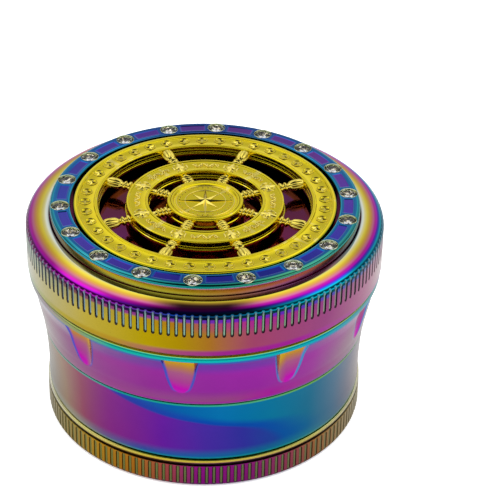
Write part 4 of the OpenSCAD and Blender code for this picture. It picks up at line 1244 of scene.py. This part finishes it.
# ------------------------------------------------------------------ bottom cup
def build_cup():
    n, cr = 142, 28.6
    out = [(0, 0, 0, "u"), (27.6, 0, 0.0, "u"), (28.1, 0.0, 0.1, "u"), (cr, 0.45, 0.3, "k"), (cr, 4.35, 0.12, "k"), (28.2, 4.5, 0.04, "k2"), (28.2, 4.7, 0.04, "k2"), (28.55, 4.85, 0.06, "lip"), (28.55, 5.6, 0.22, "lip"),
           (26.85, 5.6, 0.12, "in"), (26.85, 2.2, 0.05, "in"), (25.4, 2.2, 0.1, "in"), (25.2, 1.6, 0.5, "in"), (0, 1.6, 0, "in")]
    P, T = rounded(out, 4)
    P, T = split_long(P, T, {"k": 0.14, "in": 3.0, "u": 4.0})
    hw, dep, pitch = 0.33, 0.3, 2 * PI / n

    def disp(Th, R, Z, tags):
        k = np.round(Th / pitch)
        du = (Th - k * pitch) * cr
        fl = groove_floor(du, Z, 0.72, 3.95, hw, cr, dep)
        outer = (np.isin(tags, ["k"]))[None, :] & (R > 28.15)
        Rn = np.where(outer, np.minimum(R, fl), R)
        return Rn, Z, {"groove": (R - Rn) / dep}

    mats = [M["cup"], M["cup_inside"]]
    tm = {"u": 0, "k": 0, "k2": 0, "lip": 0, "in": 1}
    return lathe("cup_body", P, T, 0, mats, lambda t: tm[t], disp, groove_thetas(n, hw, cr), sharp=40)


place(build_cup(), "bottom_cup", "iridescent_cup", "bottom_cup")
thread("cup_thread", 27.15, 26.12, 3.1, 1.3, 180, "bottom_cup", "iridescent_cup", "bottom_cup", M["cup_inside"])
thread("sieve_thread_male", 25.5, 26.55, 3.1, 1.3, 0, "sieve_chamber", "iridescent_sieve", "sieve_chamber", M["neck"])
thread("sieve_thread_female", 27.15, 26.12, 15.45, 1.3, 180, "sieve_chamber", "iridescent_sieve", "sieve_chamber", M["sieve_inside"])
thread("chamber_thread", 25.5, 26.55, 15.45, 1.3, 0, "grinding_chamber", "iridescent_chamber", "grinding_chamber", M["neck"])


# ------------------------------------------------------------------ woven screen
def build_screen():
    pitch, zc, amp, rw = 0.9, 7.6, 0.085, 0.062
    step = pitch / 4
    R = 25.25
    b = Bag()
    k = int(R / pitch)
    n = 5
    th = np.linspace(0, 2 * PI, n, endpoint=False)
    for along in (0, 1):
        for i in range(-k, k + 1):
            c = i * pitch
            L = math.sqrt(max(0, R * R - c * c))
            m = int(2 * L / step)
            if m < 4:
                continue
            s = np.linspace(-L, L, m + 1)
            sign = 1 if (i + along) % 2 == 0 else -1
            z = zc + sign * amp * np.cos(s / pitch * PI)
            V = np.zeros((m + 1, n, 3))
            o = rw * np.cos(th)[None, :] * np.ones((m + 1, 1))
            h = z[:, None] + rw * np.sin(th)[None, :]
            if along:
                V[:, :, 0], V[:, :, 1] = c + o, s[:, None]
            else:
                V[:, :, 0], V[:, :, 1] = s[:, None], c + o
            V[:, :, 2] = h
            F = [(q * n + t, q * n + (t + 1) % n, (q + 1) * n + (t + 1) % n, (q + 1) * n + t) for q in range(m) for t in range(n)]
            b.add(V.reshape(-1, 3), F)
    return b.make("screen_weave", [M["wire"]], sharp=80)


place(build_screen(), "screen", "screen_wire", "mesh_screen")

# ------------------------------------------------------------------ carried-over CAD nodes
for node, mat, bev in (("screen_retaining_ring", "steel", 0.08), ("chamber_magnet", "magnet", 0.12), ("lid_magnet", "magnet", 0.12), ("glide_ring", "nylon", 0.1),
                       ("axle_spacer", "steel", 0.03), ("bearing_inner_race", "steel", 0.03), ("axle_screw", "steel", 0.05), ("bearing_cage", "brass", 0.0),
                       ("bearing_balls", "steel", 0.0), ("bearing_outer_race", "steel", 0.03)):
    o = N[node]
    o.data.materials.clear()
    o.data.materials.append(M[mat])
    if bev:
        w = o.modifiers.new("weld", "WELD")
        w.merge_threshold = 1e-6
        b = o.modifiers.new("soft_edges", "BEVEL")
        b.width = bev * MM
        b.segments = 3
        b.limit_method = "ANGLE"
        b.angle_limit = math.radians(40)

# ------------------------------------------------------------------ studio
FLOOR_WHITE = 1.0
floor_me = bpy.data.meshes.new("floor")
floor_me.from_pydata([(-3, -3, 0), (3, -3, 0), (3, 3, 0), (-3, 3, 0)], [], [(0, 1, 2, 3)])
fmt = Mat("floor")
# the floor is printed white to the lens and a little greyer in the reflections
flp = fmt.node("ShaderNodeLightPath")
fmt.set(base=fmt.mix(flp.outputs["Is Camera Ray"], (0.69, 0.69, 0.69), (FLOOR_WHITE,) * 3), rough=0.95, spec=0.0)
fmt.bsdf.inputs["Emission Color"].default_value = (1.0, 1.0, 1.0, 1.0)
fmt.put(fmt.bsdf.inputs["Emission Strength"], fmt.math("MULTIPLY", flp.outputs["Is Camera Ray"], 0.4))
floor_me.materials.append(fmt.m)
floor = bpy.data.objects.new("floor", floor_me)
scene.collection.objects.link(floor)

world = bpy.data.worlds.new("studio")
scene.world = world
world.use_nodes = True
wt = world.node_tree
wt.nodes.clear()


class Wd(Mat):
    """The same node helpers on the world's tree."""

    def __init__(self, tree):
        self.t = tree
        self._cyl = None


SPREAD = 0.1
wd = Wd(wt)
tc = wd.node("ShaderNodeTexCoord")
sp = wd.node("ShaderNodeSeparateXYZ")
wd.link(tc.outputs["Generated"], sp.inputs[0])
# each direction is turned into the tilt (degrees from level) and bearing (degrees from the front, + to the right) of a surface that
# mirrors it towards the front view, which makes the soft lights and the dark flag easy to place
sub = wd.node("ShaderNodeVectorMath", operation="SUBTRACT")
wd.link(tc.outputs["Generated"], sub.inputs[0])
sub.inputs[1].default_value = (0.0, math.cos(ELEV), -math.sin(ELEV))
nrm = wd.node("ShaderNodeVectorMath", operation="NORMALIZE")
wd.link(sub.outputs[0], nrm.inputs[0])
wd.link(nrm.outputs[0], sp.inputs[0])
wx, wy, wz = sp.outputs
# the lens stands close, so the bearing is corrected for the spread of the view lines across the lid
sin_t = wd.math("SQRT", wd.math("SUBTRACT", 1.0, wd.math("MULTIPLY", wz, wz)))
s_t = wd.math("MAXIMUM", wd.math("SUBTRACT", sin_t, 0.6 * SPREAD), 0.02)
phi = wd.math("MULTIPLY", wd.math("ARCTAN2", wd.math("MULTIPLY", wx, wd.math("ADD", s_t, 0.276 * SPREAD)),
                                  wd.math("MULTIPLY", wd.math("MULTIPLY", wy, -1.0), wd.math("ADD", s_t, SPREAD))), 180 / PI)
aphi = wd.math("ABSOLUTE", phi)
tilt = wd.math("MULTIPLY", wd.math("ARCCOSINE", wz), 180 / PI)


def both(a, b):
    return wd.math("MULTIPLY", a, b)


def win(v, a0, a1, b0, b1):
    return both(wd.rng(v, a0, a1, 0, 1, True), wd.rng(v, b0, b1, 1, 0, True))


e = wd.ramp(wd.rng(tilt, 0, 90), [(0.0, (0.54,) * 3), (0.03, (0.56,) * 3), (0.055, (0.9,) * 3), (0.09, (0.95,) * 3), (0.13, (0.72,) * 3),
                                  (0.3, (0.6,) * 3), (0.6, (0.45,) * 3), (1.0, (0.55,) * 3)])
# softboxes left and right
e = wd.mix(both(win(tilt, 24, 30, 36, 42), win(aphi, 26, 36, 46, 56)), e, (1.5, 1.5, 1.5))
# black flag over the front, and lower down across the camera side
flag = both(wd.rng(aphi, 12, 26, 1, 0, True), win(tilt, 8, 18, 49, 54))
e = wd.mix(both(flag, 0.96), e, (0.015, 0.015, 0.02))
low = both(wd.rng(aphi, 50, 85, 1, 0, True), win(tilt, 38, 44, 50, 54))
e = wd.mix(both(low, 0.85), e, (0.02, 0.02, 0.025))
# reflector beside the lens, for the wall of the ring
e = wd.mix(both(wd.rng(aphi, 40, 70, 1, 0, True), win(tilt, 53, 56, 62, 66)), e, (1.1, 1.1, 1.1))
# soft glow of the two side lights
zone = both(win(tilt, 4, 12, 20, 32), win(aphi, 6, 20, 40, 64))
e = wd.mix(both(zone, 0.85), e, (1.35, 1.35, 1.35))
val = e
lp = wd.node("ShaderNodeLightPath")
val = wd.mix(lp.outputs["Is Camera Ray"], val, (1.0, 1.0, 1.0))
bg = wd.node("ShaderNodeBackground")
wd.put(bg.inputs[0], val)
bg.inputs[1].default_value = 1.0
wo = wd.node("ShaderNodeOutputWorld")
wd.link(bg.outputs[0], wo.inputs[0])


FILL = 11.0


def area(name, loc, size, power, target=(0, 0, 0.02), size_y=None):
    d = bpy.data.lights.new(name, "AREA")
    d.energy = power
    d.shape = "RECTANGLE"
    d.size = size
    d.size_y = size_y or size
    o = bpy.data.objects.new(name, d)
    scene.collection.objects.link(o)
    o.location = loc
    o.rotation_euler = (Vector(target) - Vector(loc)).to_track_quat("-Z", "Y").to_euler()
    o.visible_camera = False
    return o


for nm, x in (("fill_left", -0.5), ("fill_right", 0.5)):
    f = area(nm, (x, -0.1, 1.3), 1.2, FILL)
    f.visible_glossy = False
